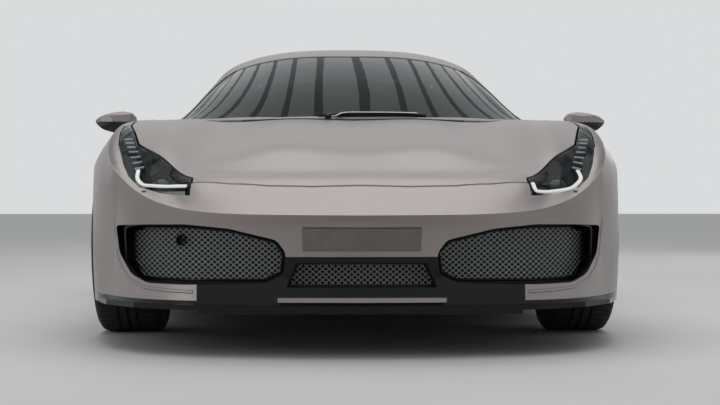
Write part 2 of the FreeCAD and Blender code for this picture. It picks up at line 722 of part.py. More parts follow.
REAR_MOUTH = mirror_points([(470, 600), (505, 640), (500, 800)])
rear_mouth = prism(REAR_MOUTH, "y", 2100, 2400, 0, 14)
tail = tail.cut(Part.makeCompound(holes + [rear_mouth]))
REAR_SIDE = [(2700, 50), (1720, 50), (1720, 470), (2020, 560), (2088, 800), (2088, 1400), (2700, 1400)]
rear_zone = prism(REAR_SIDE, "x", -1200, 1200)
rear_zone_grown = prism(REAR_SIDE, "x", -1200, 1200, FIXED_GAP)
tail_end = tail.common(rear_zone)
quarters = tail.cut(rear_zone_grown)
DIFFUSER = mirror_points([(640, 100), (640, 300), (560, 352), (240, 352), (200, 372)])
diffuser_zone = prism(DIFFUSER, "y", 1800, 2400)
diffuser_zone_grown = prism(DIFFUSER, "y", 1800, 2400, FIXED_GAP)
rear_bumper = tail_end.cut(diffuser_zone_grown)
diffuser_skin = tail_end.common(diffuser_zone)
bridge_zone = box(-446, 446, 560, 692, 800, 1400)
strip_zone = box(-520, 520, 1800, 2100, 700, 1000)
bridge = quarters.common(bridge_zone)
deck_strip = quarters.common(strip_zone)
quarters = quarters.cut(Part.makeCompound([box(-446.8, 446.8, 560, 692, 800, 1400),
                                           box(-520.8, 520.8, 1800, 2100, 700, 1000)]))
quarter_left = [s for s in solids(quarters) if s.CenterOfMass.x > 0]
quarter_right = [s for s in solids(quarters) if s.CenterOfMass.x < 0]

# Grilles: a shallow tray behind each mouth, seated on the back of the skin

def tray(points, normals, mouth, axis, low, high, depth, radius=0.0):
    deep = patch(points, normals, SKIN + SEAT, SKIN + depth)
    back = patch(points, normals, SKIN + depth - 8, SKIN + depth)
    outer = prism(mouth, axis, low, high, 12, radius)
    ring = outer.cut(prism(mouth, axis, low - 10, high + 10, 5, radius))
    return fused([deep.common(ring), back.common(outer)])


side_tray = tray(front_grids[1], front_normals[1], SIDE_TRAY, "y", -2400, -1700, 60, 16)
centre_tray = tray(front_grids[1], front_normals[1],
                   [(205, 300), (238, 222), (-238, 222), (-205, 300)], "y", -2400, -1900, 70, 8)
rear_tray = tray(rear_grids[1], rear_normals[1], REAR_MOUTH, "y", 2000, 2400, 60, 14)

# Tub: floor, sills, bulkheads, rails, towers and the seats of the outer panels
FLOOR_Z = 112.0
FLOOR_TOP = 134.0
SILL_INNER = 640.0
SILL_OUTER = 853.2
BULKHEAD_FRONT = -690.0
BULKHEAD_REAR = 640.0
RAIL_INNER = 380.0
RAIL_OUTER = 440.0
REAR_RAIL_INNER = 300.3
REAR_RAIL_OUTER = 380.0
TAIL_POST = 426.0
FRONT_FRAME_REAR = BULKHEAD_FRONT - 20 - SEAT
REAR_FRAME_FRONT = BULKHEAD_REAR + 22 + SEAT
REAR_FLOOR_FRONT = 1080 + SEAT
tub = [
    box(-SILL_OUTER, SILL_OUTER, -700, 1080, FLOOR_Z, FLOOR_TOP),
    box(-SILL_INNER, SILL_INNER, BULKHEAD_FRONT - 20, BULKHEAD_FRONT, FLOOR_Z, 760),
    box(-SILL_INNER - 40, SILL_INNER + 40, BULKHEAD_REAR, BULKHEAD_REAR + 22, FLOOR_Z, 880),
    box(-560, 560, BULKHEAD_REAR, BULKHEAD_REAR + 22, 860, 1010)]
front_frame = [
    box(-520, 520, -2140, FRONT_FRAME_REAR, FLOOR_Z + 20, 150),
    box(-742, 742, -782, FRONT_FRAME_REAR, 690, 748),
    box(-430, 430, -2080, -2050, 300, 380)]
rear_frame = [box(-560, 560, REAR_FLOOR_FRONT, 1900, FLOOR_Z, FLOOR_TOP)]
for side in (-1, 1):
    def pair(x0, x1, *rest):
        return box(min(side * x0, side * x1), max(side * x0, side * x1), *rest)
    tub.append(pair(SILL_INNER, SILL_OUTER, -700, 620, FLOOR_Z, 296))
    front_frame += [
        pair(RAIL_INNER, RAIL_OUTER, -2085, FRONT_FRAME_REAR, 166.5, 300),
        pair(RAIL_INNER, RAIL_OUTER, -1560, FRONT_FRAME_REAR, 145, 170),
        pair(RAIL_INNER, RAIL_OUTER, FRONT_AXLE_Y - 150, FRONT_AXLE_Y + 150, 290, 640),
        pair(RAIL_INNER, RAIL_OUTER, FRONT_FRAME_REAR - 60, FRONT_FRAME_REAR, 290, 700),
        pair(718, 728, -812, -770, 740, 787),
        pair(718, 728, -812, -740, 740, 748)]
    rear_frame += [
        pair(REAR_RAIL_INNER, REAR_RAIL_OUTER, REAR_FRAME_FRONT, 2100, 250, 340),
        pair(REAR_RAIL_INNER, REAR_RAIL_OUTER, REAR_AXLE_Y - 150, REAR_AXLE_Y + 150, 330, 640),
        pair(REAR_RAIL_INNER, REAR_RAIL_OUTER, 1100, 1150, FLOOR_Z, 260),
        pair(REAR_RAIL_INNER, REAR_RAIL_OUTER, 1840, 1890, FLOOR_Z, 260),
        pair(REAR_RAIL_INNER, TAIL_POST, 2060, 2100, 250, 340),
        pair(TAIL_POST - 30, TAIL_POST, 2060, 2100, 250, 560)]
cowl_seat = patch(top_points, top_normals, SKIN + SEAT, SKIN + 10)
cowl_zone = prism(mirror_points([(620, -985), (680, -935), (680, -730)]), "z", 700, 1000)
wing_zone = box(736, 800, -880, -720, 700, 1000)
seats_top = [cowl_seat.common(z) for z in (cowl_zone, wing_zone, mirrored(wing_zone))]
front_frame += seats_top
front_frame += [box(-600, 600, -890, -740, 700, 748), box(-600, 600, -890, -860, 740, 795),
                box(734, 742, -800, -730, 740, 797), box(-742, -734, -800, -730, 740, 797)]
face_seat = patch(front_grids[1], front_normals[1], SKIN + SEAT, SKIN + 60)
front_frame.append(face_seat.common(box(-180, 180, -2300, -2090, 330, 395)))
front_frame.append(box(-195, 195, -2200, -2055, 330, 380))
rear_seat = patch(rear_grids[1], rear_normals[1], SKIN + SEAT, SKIN + 70)
rear_frame.append(rear_seat.common(box(-TAIL_POST, TAIL_POST, 2000, 2300, 500, 560)))
rear_frame.append(box(-TAIL_POST, TAIL_POST, 2060, 2190, 500, 560))
hoop = patch(roof_points, roof_normals, ROOF_WALL + SEAT, ROOF_WALL + 22)
hoop_part = hoop.common(box(-620, 620, 590, 634, 900, 1300))
deck_seat = patch(deck_points, deck_normals, SKIN + SEAT, SKIN + 20)
deck_part = deck_seat.common(box(-700, 700, 642, 672, 800, 1300))
bulk = Part.Face(Part.makePolygon([V(x, BULKHEAD_REAR, z) for x, z in (
    (-640, 800), (640, 800), (560, 980), (430, 1060), (0, 1120), (-430, 1060), (-560, 980),
    (-640, 800))])).extrude(V(0, 22, 0))
tub += [bulk]
monocoque = fused(tub)
front_frame = largest(fused(front_frame).cut(roof_frame))
rear_frame = fused(rear_frame)

# Engine, gearbox and exhaust
engine = fused([box(-300, 300, 760, 1300, 250, 620), box(-220, 220, 780, 1280, 600, 760),
                box(-170, 170, 1290, 1900, 260, 560)])
MUFFLER_REAR = 2030.0
exhaust = box(-430, 430, 1900.3, MUFFLER_REAR, 372, 496)
tip_start = MUFFLER_REAR + SEAT
tip_floor = MUFFLER_REAR + 30
tip_left = cylinder(EXHAUST_RADIUS, (EXHAUST_X, tip_floor - 8, EXHAUST_Z), (EXHAUST_X, EXHAUST_END, EXHAUST_Z))
tip_bore = cylinder(EXHAUST_RADIUS - EXHAUST_WALL, (EXHAUST_X, tip_floor, EXHAUST_Z),
                    (EXHAUST_X, EXHAUST_END + 8, EXHAUST_Z))
tip_neck = cylinder(EXHAUST_RADIUS - 12, (EXHAUST_X, tip_start, EXHAUST_Z), (EXHAUST_X, tip_floor - 4, EXHAUST_Z))
tip_left = fused([tip_left.cut(tip_bore), tip_neck])

# Hinges. Each moving piece has a pin or lug on its joint axis, in a bore of its carrier
DOOR_PINS = (452.0, 540.0)
NOTCH = 10.0
DOOR_SWING = 1174.0
swing = cylinder(DOOR_SWING, (DOOR_HINGE_X, DOOR_HINGE_Y, 0), (DOOR_HINGE_X, DOOR_HINGE_Y, 1200))
door_left = door_shell.common(swing)
wing_left_solid = wing_left[0]
for z in DOOR_PINS:
    notch = cylinder(NOTCH, (DOOR_HINGE_X, DOOR_HINGE_Y, z - 14), (DOOR_HINGE_X, DOOR_HINGE_Y, z + 14))
    lug = box(918, 947, -623, -602, z - 4, z + 4)
    lug = lug.cut(cylinder(4 + SEAT, (DOOR_HINGE_X, DOOR_HINGE_Y, z - 10), (DOOR_HINGE_X, DOOR_HINGE_Y, z + 10)))
    door_left = door_left.cut(notch).fuse(lug)
    recess = box(900, 970, -632, -600, z - 12, z + 12)
    foot = box(930, 945, -632, -619.8, z - 14, z - 8).fuse(box(937, 945, -625, -612, z - 14, z - 8))
    pin = cylinder(4, (DOOR_HINGE_X, DOOR_HINGE_Y, z - 12), (DOOR_HINGE_X, DOOR_HINGE_Y, z + 7))
    wing_left_solid = fused([wing_left_solid.cut(recess), foot, pin])

GOOSENECK = [(6, -7), (6, 3), (-8, 3), (-62, -62), (-107, -70), (-127, 0), (-152, 18), (-185, 22),
             (-185, 12), (-146, -6), (-120, -88), (-58, -80), (-7, -9)]
necks = []
for x in (704, -716):
    points = [(BONNET_HINGE_Y + y, BONNET_HINGE_Z + z) for y, z in GOOSENECK]
    necks.append(prism(points, "x", x, x + 12))
for side in (-1, 1):
    necks.append(cylinder(5, (side * 704, BONNET_HINGE_Y, BONNET_HINGE_Z), (side * 728, BONNET_HINGE_Y, BONNET_HINGE_Z)))
    front_frame = front_frame.cut(cylinder(5 + SEAT, (side * 717, BONNET_HINGE_Y, BONNET_HINGE_Z),
                                           (side * 730, BONNET_HINGE_Y, BONNET_HINGE_Z)))
bonnet = fused([bonnet] + necks)

bridge_lugs = []
bridge_bores = []
cover_tabs = []
for side in (-1, 1):
    def across(x0, x1, *rest):
        return box(min(side * x0, side * x1), max(side * x0, side * x1), *rest)
    lug = across(165, 180, 668, 688.5, 1139.5, 1149.5)
    bridge_lugs.append(lug)
    bridge_bores.append(cylinder(3 + SEAT, (side * 150, COVER_HINGE_Y, COVER_HINGE_Z),
                                 (side * 200, COVER_HINGE_Y, COVER_HINGE_Z)))
    bridge_bores.append(across(138, 164.5, COVER_HINGE_Y - 10, 720, 1100, 1200))
    cover_tabs.append(across(146, 158, COVER_HINGE_Y - 3, 700, 1142, 1148))
    cover_tabs.append(cylinder(3, (side * 150, COVER_HINGE_Y, COVER_HINGE_Z), (side * 180, COVER_HINGE_Y, COVER_HINGE_Z)))
bridge = fused([bridge] + bridge_lugs).cut(Part.makeCompound(bridge_bores))
engine_cover = fused([engine_cover] + cover_tabs)

# Rims, tyres, knuckles and suspension, for one wheel on the left


def tyre(end):
    outer = TYRE_RADIUS[end]
    half = TYRE_WIDTH[end] / 2
    bead = half - 24
    profile = [(BEAD_RADIUS + SEAT, bead), (RIM_RADIUS + SEAT, bead), (300, half), (outer - 5, half - 15),
               (outer, half - 40)]
    profile += [(r, -u) for r, u in reversed(profile)]
    return lathe_x(profile, (WHEEL_X[end], WHEEL_Y[end], TYRE_RADIUS[end]))


def rim(end):
    half = TYRE_WIDTH[end] / 2 - 14
    lip = half - 9
    face = 66.0 if end == "front" else 84.0
    barrel = [(BARREL_RADIUS, -half), (RIM_RADIUS, -half), (RIM_RADIUS, -lip), (BEAD_RADIUS, -lip),
              (BEAD_RADIUS, lip), (RIM_RADIUS, lip), (RIM_RADIUS, half), (BARREL_RADIUS, half)]
    pieces = [lathe_x(barrel, (0, 0, 0))]
    bore = AXLE_RADIUS + SEAT
    hub = [(bore, -24), (HUB_RADIUS, -24), (HUB_RADIUS, face - 26), (52, face - 8), (0, face - 8),
           (0, 42), (bore, 42)]
    pieces.append(lathe_x(hub, (0, 0, 0)))
    disc = [(HUB_RADIUS - 5, -DISC_HALF), (DISC_RADIUS, -DISC_HALF), (DISC_RADIUS, DISC_HALF),
            (HUB_RADIUS - 5, DISC_HALF)]
    pieces.append(lathe_x(disc, (0, 0, 0)))
    for k in range(SPOKE_COUNT):
        spoke = prism([(-17, 44), (17, 44), (10, 246), (-10, 246)], "x", face - 26, face)
        spoke.rotate(V(0, 0, 0), V(1, 0, 0), 360.0 * k / SPOKE_COUNT)
        pieces.append(spoke)
    wheel = fused(pieces)
    wheel.translate(V(WHEEL_X[end], WHEEL_Y[end], TYRE_RADIUS[end]))
    return wheel


def caliper(reach):
    """A caliper block on the side of the disc that faces the middle of the car."""
    ring = [(122, -36), (230, -36), (230, 36), (122, 36)]
    block = lathe_x(ring, (0, 0, 0)).common(box(-40, 40, min(reach, 0), max(reach, 0), -120, 120))
    slot = lathe_x([(0, -21), (200, -21), (200, 21), (0, 21)], (0, 0, 0))
    return block.cut(slot)


def upright(end):
    reach = 240 if end == "front" else -240
    side = 1 if reach > 0 else -1
    plate = box(-76, -36, -62, 62, -142, 142)
    arm = box(-76, -34, min(0, side * 170), max(0, side * 170), -60, 60)
    pin = cylinder(AXLE_RADIUS, (-40, 0, 0), (40, 0, 0))
    block = fused([plate, arm, pin, caliper(reach)])
    return block


def placed(shape, end):
    return shape.translated(V(WHEEL_X[end], WHEEL_Y[end], TYRE_RADIUS[end]))


BALL_U = KINGPIN_X - WHEEL_X["front"]
knuckle = fused([upright("front"), cylinder(12, (BALL_U, 0, -180), (BALL_U, 0, 180))])
knuckle_left = placed(knuckle, "front")


def wishbone(end, z, inner_x, outer_x):
    y = WHEEL_Y[end]
    arms = [cylinder(13, (inner_x, y + s * 125, z), (outer_x - 10, y, z)) for s in (-1, 1)]
    return arms


LOWER_Z = FRONT_TYRE_RADIUS - 165
UPPER_Z = FRONT_TYRE_RADIUS + 165
front_arms = []
for z in (LOWER_Z, UPPER_Z):
    ends = wishbone("front", z, RAIL_OUTER + SEAT + 8, KINGPIN_X)
    boss = cylinder(25, (KINGPIN_X, FRONT_AXLE_Y, z - 11), (KINGPIN_X, FRONT_AXLE_Y, z + 11))
    feet = [box(RAIL_OUTER + SEAT, RAIL_OUTER + 30, FRONT_AXLE_Y + s * 125 - 18,
                FRONT_AXLE_Y + s * 125 + 18, z - 16, z + 16) for s in (-1, 1)]
    arm = fused(ends + feet + [boss])
    bore = cylinder(12 + SEAT, (KINGPIN_X, FRONT_AXLE_Y, z - 30), (KINGPIN_X, FRONT_AXLE_Y, z + 30))
    front_arms.append(arm.cut(bore))
spring = cylinder(34, (600, FRONT_AXLE_Y, LOWER_Z + 22), (500, FRONT_AXLE_Y, 610))
eye = cylinder(13, (612, FRONT_AXLE_Y, LOWER_Z - 4), (590, FRONT_AXLE_Y, LOWER_Z + 60))
link = box(560, 640, FRONT_AXLE_Y - 60, FRONT_AXLE_Y + 60, LOWER_Z - 10, LOWER_Z + 10)
top_mount = box(RAIL_OUTER + SEAT, 520, FRONT_AXLE_Y - 40, FRONT_AXLE_Y + 40, 585, 620)
front_arms[0] = fused([front_arms[0], spring, eye, link, top_mount])

rear_block = placed(upright("rear"), "rear")
rear_pieces = [rear_block]
plate_x = WHEEL_X["rear"] - 60
for z, foot_z in ((REAR_TYRE_RADIUS - 120, 275), (REAR_TYRE_RADIUS + 120, REAR_TYRE_RADIUS + 124)):
    rear_pieces += [cylinder(14, (REAR_RAIL_OUTER + SEAT + 8, REAR_AXLE_Y + s * 125, foot_z),
                             (plate_x, REAR_AXLE_Y, z)) for s in (-1, 1)]
    rear_pieces += [box(REAR_RAIL_OUTER + SEAT, REAR_RAIL_OUTER + 30, REAR_AXLE_Y + s * 125 - 18,
                        REAR_AXLE_Y + s * 125 + 18, foot_z - 20, foot_z + 20) for s in (-1, 1)]
rear_pieces.append(cylinder(34, (600, REAR_AXLE_Y, REAR_TYRE_RADIUS - 110), (450, REAR_AXLE_Y, 620)))
rear_pieces.append(box(REAR_RAIL_OUTER + SEAT, 470, REAR_AXLE_Y - 40, REAR_AXLE_Y + 40, 596, 632))
rear_pieces.append(box(560, 640, REAR_AXLE_Y - 60, REAR_AXLE_Y + 60, REAR_TYRE_RADIUS - 130,
                       REAR_TYRE_RADIUS - 108))
rear_side = fused(rear_pieces)

# Nose and tail pieces
PLATE = mirror_points([(0, -2262), (300, -2250), (560, -2190), (735, -2062), (846, -1892),
                       (880, -1790), (876, -1745), (560, -1600), (480, -1570)])
splitter = fused([valance, prism(PLATE, "z", 150, 166)])
blade = prism(mirror_points([(0, -2298), (262, -2284), (270, -2226), (0, -2226)]), "z", 179, 193)
blade = blade.cut(front_clip.translated(V(0, -SEAT, 0)))

rises = [70, 62, 42, 20, 4]
columns = range(1, len(SHARES) - 1)
under = [[deck_points[i][j] + V(0, 0, SEAT + 0.1) for j in columns] for i in range(5)]
over = [[p + V(0, 0, rise) for p in row] for row, rise in zip(under, rises)]
spoiler = thick([(over, under)])

fins = [box(x - 4, x + 4, 1900.5, 2210, 152, 250) for x in (-480, -320, -160, 0, 160, 320, 480)]
ramp = prism([(1900.5, 112), (1900.5, 130), (2225, 262), (2228, 244)], "x", -600, 600)
diffuser = fused([ramp] + [f.common(prism([(1900.5, 118), (2226, 250), (2205, 150), (1960, 120)], "x", -600, 600))
                           for f in fins] + [diffuser_skin])
tail_lamps = [cylinder(TAIL_LAMP_RADIUS, (s * TAIL_LAMP_X, 2150, TAIL_LAMP_Z),
                       (s * TAIL_LAMP_X, 2254, TAIL_LAMP_Z)) for s in (-1, 1)]

# The intake ahead of each rear wheel: a duct behind the opening, and a blade across it
side_points = rear_grids[2]
side_normals = rear_normals[2]
duct_deep = patch(side_points, side_normals, SKIN + SEAT, 100)
duct_back = patch(side_points, side_normals, 92, 100)
duct_ring = prism(SIDE_INTAKE, "x", 700, 1100, 8, 18).cut(prism(SIDE_INTAKE, "x", 690, 1110, 2, 18))
duct = fused([duct_deep.common(duct_ring), duct_back.common(prism(SIDE_INTAKE, "x", 700, 1100, 8, 18))])
fin = prism([(866, 712.6), (930, 849.3), (905, 849.3), (842, 712.6)], "z", 628, 640)

# Mirrors: a wing-like housing seen from the front, hollowed at the back round its glass
MIRROR_BACK = -500.0
MIRROR_FACE = [(908, 852), (924, 868), (960, 873), (1004, 867), (1048, 852), (1077, 836), (1068, 818),
               (1040, 796), (1000, 785), (950, 784), (915, 792), (905, 815)]
MIRROR_PLAN = [(890, MIRROR_BACK), (890, -545), (930, -572), (1000, -582), (1050, -566), (1084, -530),
               (1084, MIRROR_BACK)]
MIRROR_SIDE = [(MIRROR_BACK, 890), (MIRROR_BACK, 770), (-540, 782), (-566, 806), (-584, 832), (-578, 856),
               (-548, 874), (-530, 890)]
housing = prism(MIRROR_FACE, "y", -620, MIRROR_BACK, 0, 7).common(prism(MIRROR_PLAN, "z", 700, 900))
housing = housing.common(prism(MIRROR_SIDE, "x", 850, 1100))
pocket = prism(MIRROR_FACE, "y", MIRROR_BACK - 9, MIRROR_BACK + 5, -6, 2)
stalk = prism([(822, 822), (822, 838), (920, 832), (920, 806)], "y", -556, -518)
stalk = stalk.cut(side_block.translated(V(0, 0, SEAT + 0.1)))
mirror = fused([housing.cut(pocket), stalk.cut(pocket)])
mirror_glass = prism(MIRROR_FACE, "y", MIRROR_BACK - 8.7, MIRROR_BACK - 4, -6.3, 2)

# Cabin
SEAT_X = 360.0
SEAT_SIDE = [(-170, FLOOR_TOP + SEAT), (-190, 300), (-150, 350), (200, 290), (300, 330), (455, 800),
             (490, 950), (530, 960), (560, 930), (560, 700), (440, 300), (330, FLOOR_TOP + SEAT)]
seat_left = prism(SEAT_SIDE, "x", SEAT_X - 235, SEAT_X + 235)
bolsters = [prism([(-150, 340), (200, 285), (300, 330), (430, 720), (395, 735), (235, 370), (-130, 400)],
                  "x", SEAT_X + a, SEAT_X + b) for a, b in ((-235, -165), (165, 235))]
seat_left = fused([seat_left] + bolsters)
DASH = [(BULKHEAD_FRONT + SEAT, 500), (BULKHEAD_FRONT + SEAT, 800), (-560, 812), (-440, 770), (-420, 700),
        (-470, 600), (-560, 500)]
dash = fused([prism(DASH, "x", -690, 690), box(-105, 105, -600, 260, FLOOR_TOP + SEAT, 340),
              box(-60, 60, -500, -420, 330, 620)])
WHEEL_CENTRE = V(SEAT_X, -300, 716)
COLUMN_DIR = V(0, math.cos(math.radians(22)), math.sin(math.radians(22)))
grip = Part.makeTorus(172, 15, V(0, 0, 0), V(0, 0, 1))
arms = [box(-165, 165, -16, 16, -8, 8), box(-16, 16, -165, 0, -8, 8), cylinder(52, (0, 0, -14), (0, 0, 20)),
        cylinder(16, (0, 0, -160), (0, 0, 0))]
steering_wheel = fused([grip] + arms)
steering_wheel.rotate(V(0, 0, 0), V(1, 0, 0), -68)
steering_wheel.translate(WHEEL_CENTRE)
column_bore = cylinder(16 + SEAT, tuple(WHEEL_CENTRE - COLUMN_DIR * 300), tuple(WHEEL_CENTRE))
dash = dash.cut(column_bore)

# The lamp bowls hang on a lug behind the lower edge of the lamp
lamp_lug = patch(top_points, top_normals, SKIN + SEAT, SKIN + 9).common(box(622, 672, -2088, -2058, 400, 600))
lamp_bowl = largest(fused([lamp_bowl, lamp_lug]).cut(bumper).cut(side_tray))

save("monocoque", monocoque)
save("front_frame", front_frame)
save("rear_frame", rear_frame)
save("front_bumper", bumper)
save("front_splitter", splitter)
save("splitter_blade", blade)
save("intake_grilles", side_tray, mirrored(side_tray), centre_tray)
save("bonnet", bonnet)
save("scuttle", scuttle)
save("wing_left", wing_left_solid)
save("wing_right", mirrored(wing_left_solid))
save("headlamp_bowls", lamp_bowl, mirrored(lamp_bowl))
save("headlamp_lenses", lamp_lens, mirrored(lamp_lens))
save("windscreen", windscreen)
save("roof_frame", roof_frame)
save("door_left", door_left)
save("door_right", mirrored(door_left))
save("door_glass_left", door_glass)
save("door_glass_right", mirrored(door_glass))
save("mirror_left", mirror)
save("mirror_right", mirrored(mirror))
save("mirror_glass_left", mirror_glass)
save("mirror_glass_right", mirrored(mirror_glass))
save("sill_skirts", skirt, mirrored(skirt))
save("quarter_left", quarter_left[0])
save("quarter_right", quarter_right[0])
save("roof_rear_bridge", bridge)
save("rear_deck_strip", deck_strip)
save("engine_cover", engine_cover)
save("engine_glass", engine_glass)
save("rear_bumper", rear_bumper)
save("rear_diffuser", diffuser)
save("rear_spoiler", spoiler)
save("rear_grille", rear_tray)
save("tail_lamps", *tail_lamps)
save("side_ducts", duct, mirrored(duct))
save("side_blades", fin, mirrored(fin))
save("exhaust", exhaust)
save("exhaust_tip_left", tip_left)
save("exhaust_tip_right", mirrored(tip_left))
save("engine_block", engine)
save("seats", seat_left, mirrored(seat_left))
save("dashboard", dash)
save("steering_wheel", steering_wheel)
save("front_suspension", *(front_arms + [mirrored(a) for a in front_arms]))
save("rear_suspension", rear_side, mirrored(rear_side))
save("knuckle_left", knuckle_left)
save("knuckle_right", mirrored(knuckle_left))
for end in ("front", "rear"):
    left_tyre = tyre(end)
    left_rim = rim(end)
    save("tyre_" + end + "_left", left_tyre)
    save("tyre_" + end + "_right", mirrored(left_tyre))
    save("rim_" + end + "_left", left_rim)
    save("rim_" + end + "_right", mirrored(left_rim))
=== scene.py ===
"""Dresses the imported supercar: paint, glass, lamps, grilles, wheels and cabin."""
import bpy
import bmesh
import math
from mathutils import Matrix, Vector
from mathutils.bvhtree import BVHTree


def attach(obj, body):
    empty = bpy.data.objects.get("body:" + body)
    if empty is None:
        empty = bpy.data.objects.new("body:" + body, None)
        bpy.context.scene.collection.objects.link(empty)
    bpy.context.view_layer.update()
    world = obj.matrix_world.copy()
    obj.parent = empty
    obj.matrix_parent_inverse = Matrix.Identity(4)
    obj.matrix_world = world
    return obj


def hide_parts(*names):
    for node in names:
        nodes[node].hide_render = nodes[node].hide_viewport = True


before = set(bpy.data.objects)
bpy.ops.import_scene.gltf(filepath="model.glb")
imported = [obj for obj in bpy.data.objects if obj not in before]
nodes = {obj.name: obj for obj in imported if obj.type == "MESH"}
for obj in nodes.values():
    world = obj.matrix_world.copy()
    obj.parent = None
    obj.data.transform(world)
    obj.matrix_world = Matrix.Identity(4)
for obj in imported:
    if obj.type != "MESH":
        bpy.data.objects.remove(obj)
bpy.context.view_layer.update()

scene = bpy.context.scene
SIDES = (("left", 1), ("right", -1))
UP = Vector((0, 0, 1))
DOWN = Vector((0, 0, -1))


# Materials

LACQUER = "#9A9391"
FLAKE_METAL = 0.82


def linear(hex_code):
    """An sRGB hex colour as the linear RGBA that the shaders take."""
    channels = [int(hex_code[i:i + 2], 16) / 255 for i in (1, 3, 5)]
    return [c / 12.92 if c <= 0.04045 else ((c + 0.055) / 1.055) ** 2.4 for c in channels] + [1.0]


def add(tree, kind, settings=None, inputs=None):
    """Adds a node. An input is named or numbered, and holds a value or the socket that feeds it."""
    node = tree.nodes.new(kind)
    for key, value in (settings or {}).items():
        setattr(node, key, value)
    for key, value in (inputs or {}).items():
        if isinstance(value, bpy.types.NodeSocket):
            tree.links.new(value, node.inputs[key])
        else:
            node.inputs[key].default_value = value
    return node


def start(name, colour, roughness, metallic=0.0, extra=None):
    """A material with its shader. Returns the material, its tree, its shader and its place in metres."""
    material = bpy.data.materials.new(name)
    material.use_nodes = True
    tree = material.node_tree
    tree.nodes.clear()
    values = {"Base Color": linear(colour), "Roughness": roughness, "Metallic": metallic}
    values.update(extra or {})
    shader = add(tree, "ShaderNodeBsdfPrincipled", inputs=values)
    add(tree, "ShaderNodeOutputMaterial", inputs={"Surface": shader.outputs[0]})
    return material, tree, shader, add(tree, "ShaderNodeTexCoord").outputs["Object"]


def tones(tree, shader, source, dark, light):
    """Colours the shader between two tones by a pattern."""
    ramp = add(tree, "ShaderNodeValToRGB", inputs={"Fac": source})
    ramp.color_ramp.elements[0].position = 0.3
    ramp.color_ramp.elements[0].color = linear(dark)
    ramp.color_ramp.elements[1].position = 0.7
    ramp.color_ramp.elements[1].color = linear(light)
    tree.links.new(ramp.outputs[0], shader.inputs["Base Color"])


def sheen(tree, shader, source, low, high):
    """Varies the shader's roughness by a pattern."""
    spread = add(tree, "ShaderNodeMapRange", inputs={0: source, 3: low, 4: high})
    tree.links.new(spread.outputs[0], shader.inputs["Roughness"])


def relief(tree, shader, source, strength, millimetres):
    """Raises the surface by a pattern."""
    bump = add(tree, "ShaderNodeBump", inputs={"Height": source, "Strength": strength,
                                               "Distance": millimetres / 1000})
    tree.links.new(bump.outputs[0], shader.inputs["Normal"])


def noise(tree, place, size_mm, detail=2.0):
    return add(tree, "ShaderNodeTexNoise", inputs={"Vector": place, "Scale": 1000.0 / size_mm,
                                                   "Detail": detail}).outputs[0]


def satin_lacquer():
    # Aluminium flake in lacquer under a matt clear coat: a soft, broad highlight on warm grey
    mat, tree, shader, place = start("satin_metallic_lacquer", LACQUER, 0.32, FLAKE_METAL)
    # Flake is about 0.05 mm, drawn at 1.5 mm so that it shows at all
    flake = add(tree, "ShaderNodeTexVoronoi", inputs={"Vector": place, "Scale": 660.0})
    tones(tree, shader, flake.outputs["Distance"], "#958E8C", "#9F9896")
    # Polishing and dust change the sheen over about 300 mm
    sheen(tree, shader, noise(tree, place, 300, 3.0), 0.30, 0.36)
    # The sprayed film has waves of about 4 mm, a few micrometres high
    relief(tree, shader, noise(tree, place, 4.0), 0.05, 0.3)
    return mat


def masked_lacquer(name, edge):
    # Body lacquer sprayed above a masked edge, with the black moulding left bare below it
    mat, tree, shader, place = start(name, LACQUER, 0.32, FLAKE_METAL)
    height = add(tree, "ShaderNodeSeparateXYZ", inputs={0: place}).outputs[2]
    mask = add(tree, "ShaderNodeMath", {"operation": "GREATER_THAN"}, {0: height, 1: edge}).outputs[0]
    colour = add(tree, "ShaderNodeMix", {"data_type": "RGBA"},
                 {0: mask, 6: linear("#0C0D0E"), 7: linear(LACQUER)})
    tree.links.new(colour.outputs[2], shader.inputs["Base Color"])
    sheen(tree, shader, mask, 0.2, 0.34)
    metal = add(tree, "ShaderNodeMath", {"operation": "MULTIPLY"}, {0: mask, 1: FLAKE_METAL})
    tree.links.new(metal.outputs[0], shader.inputs["Metallic"])
    return mat


def moulded(name, dark, light, roughness, grain_mm, depth_mm, rough_spread=0.06, shine=0.5):
    # A moulded surface with fine grain: it breaks the highlight and hides finger marks
    mat, tree, shader, place = start(name, dark, roughness, 0.0, {"Specular IOR Level": shine})
    grain = noise(tree, place, grain_mm, 3.0)
    tones(tree, shader, grain, dark, light)
    sheen(tree, shader, noise(tree, place, 180, 4.0), roughness - rough_spread, roughness + rough_spread)
    relief(tree, shader, grain, 0.4, depth_mm)
    return mat


def glazing(name, colour, roughness, weight, ior=1.5, tint="#FFFFFF"):
    # Clear sheet, tinted in its mass, with a faint film of wiped dust on it
    mat, tree, shader, place = start(name, colour, roughness, 0.0, {"IOR": ior, "Transmission Weight": weight,
                                                                    "Specular Tint": linear(tint)})
    sheen(tree, shader, noise(tree, place, 160, 4.0), roughness, roughness + 0.02)
    return mat


def worked_metal(name, dark, light, roughness, grain_mm, stretch=(1, 1, 1)):
    # Bare metal whose tool marks or casting grain catch the light
    mat, tree, shader, place = start(name, dark, roughness, 1.0)
    drawn = add(tree, "ShaderNodeMapping", inputs={"Vector": place, "Scale": stretch})
    grain = noise(tree, drawn.outputs[0], grain_mm)
    tones(tree, shader, grain, dark, light)
    sheen(tree, shader, grain, roughness * 0.85, roughness * 1.2)
    relief(tree, shader, grain, 0.15, 0.1)
    return mat


def woven(name, dark, light, pitch_mm, glow):
    # Cloth or suede: no highlight, a soft edge glow, threads drawn coarse enough to show
    mat, tree, shader, place = start(name, dark, 0.9, 0.0, {"Sheen Weight": glow, "Sheen Roughness": 0.4})
    pile = noise(tree, place, pitch_mm, 2.0)
    tones(tree, shader, pile, dark, light)
    relief(tree, shader, pile, 0.5, 0.4)
    return mat


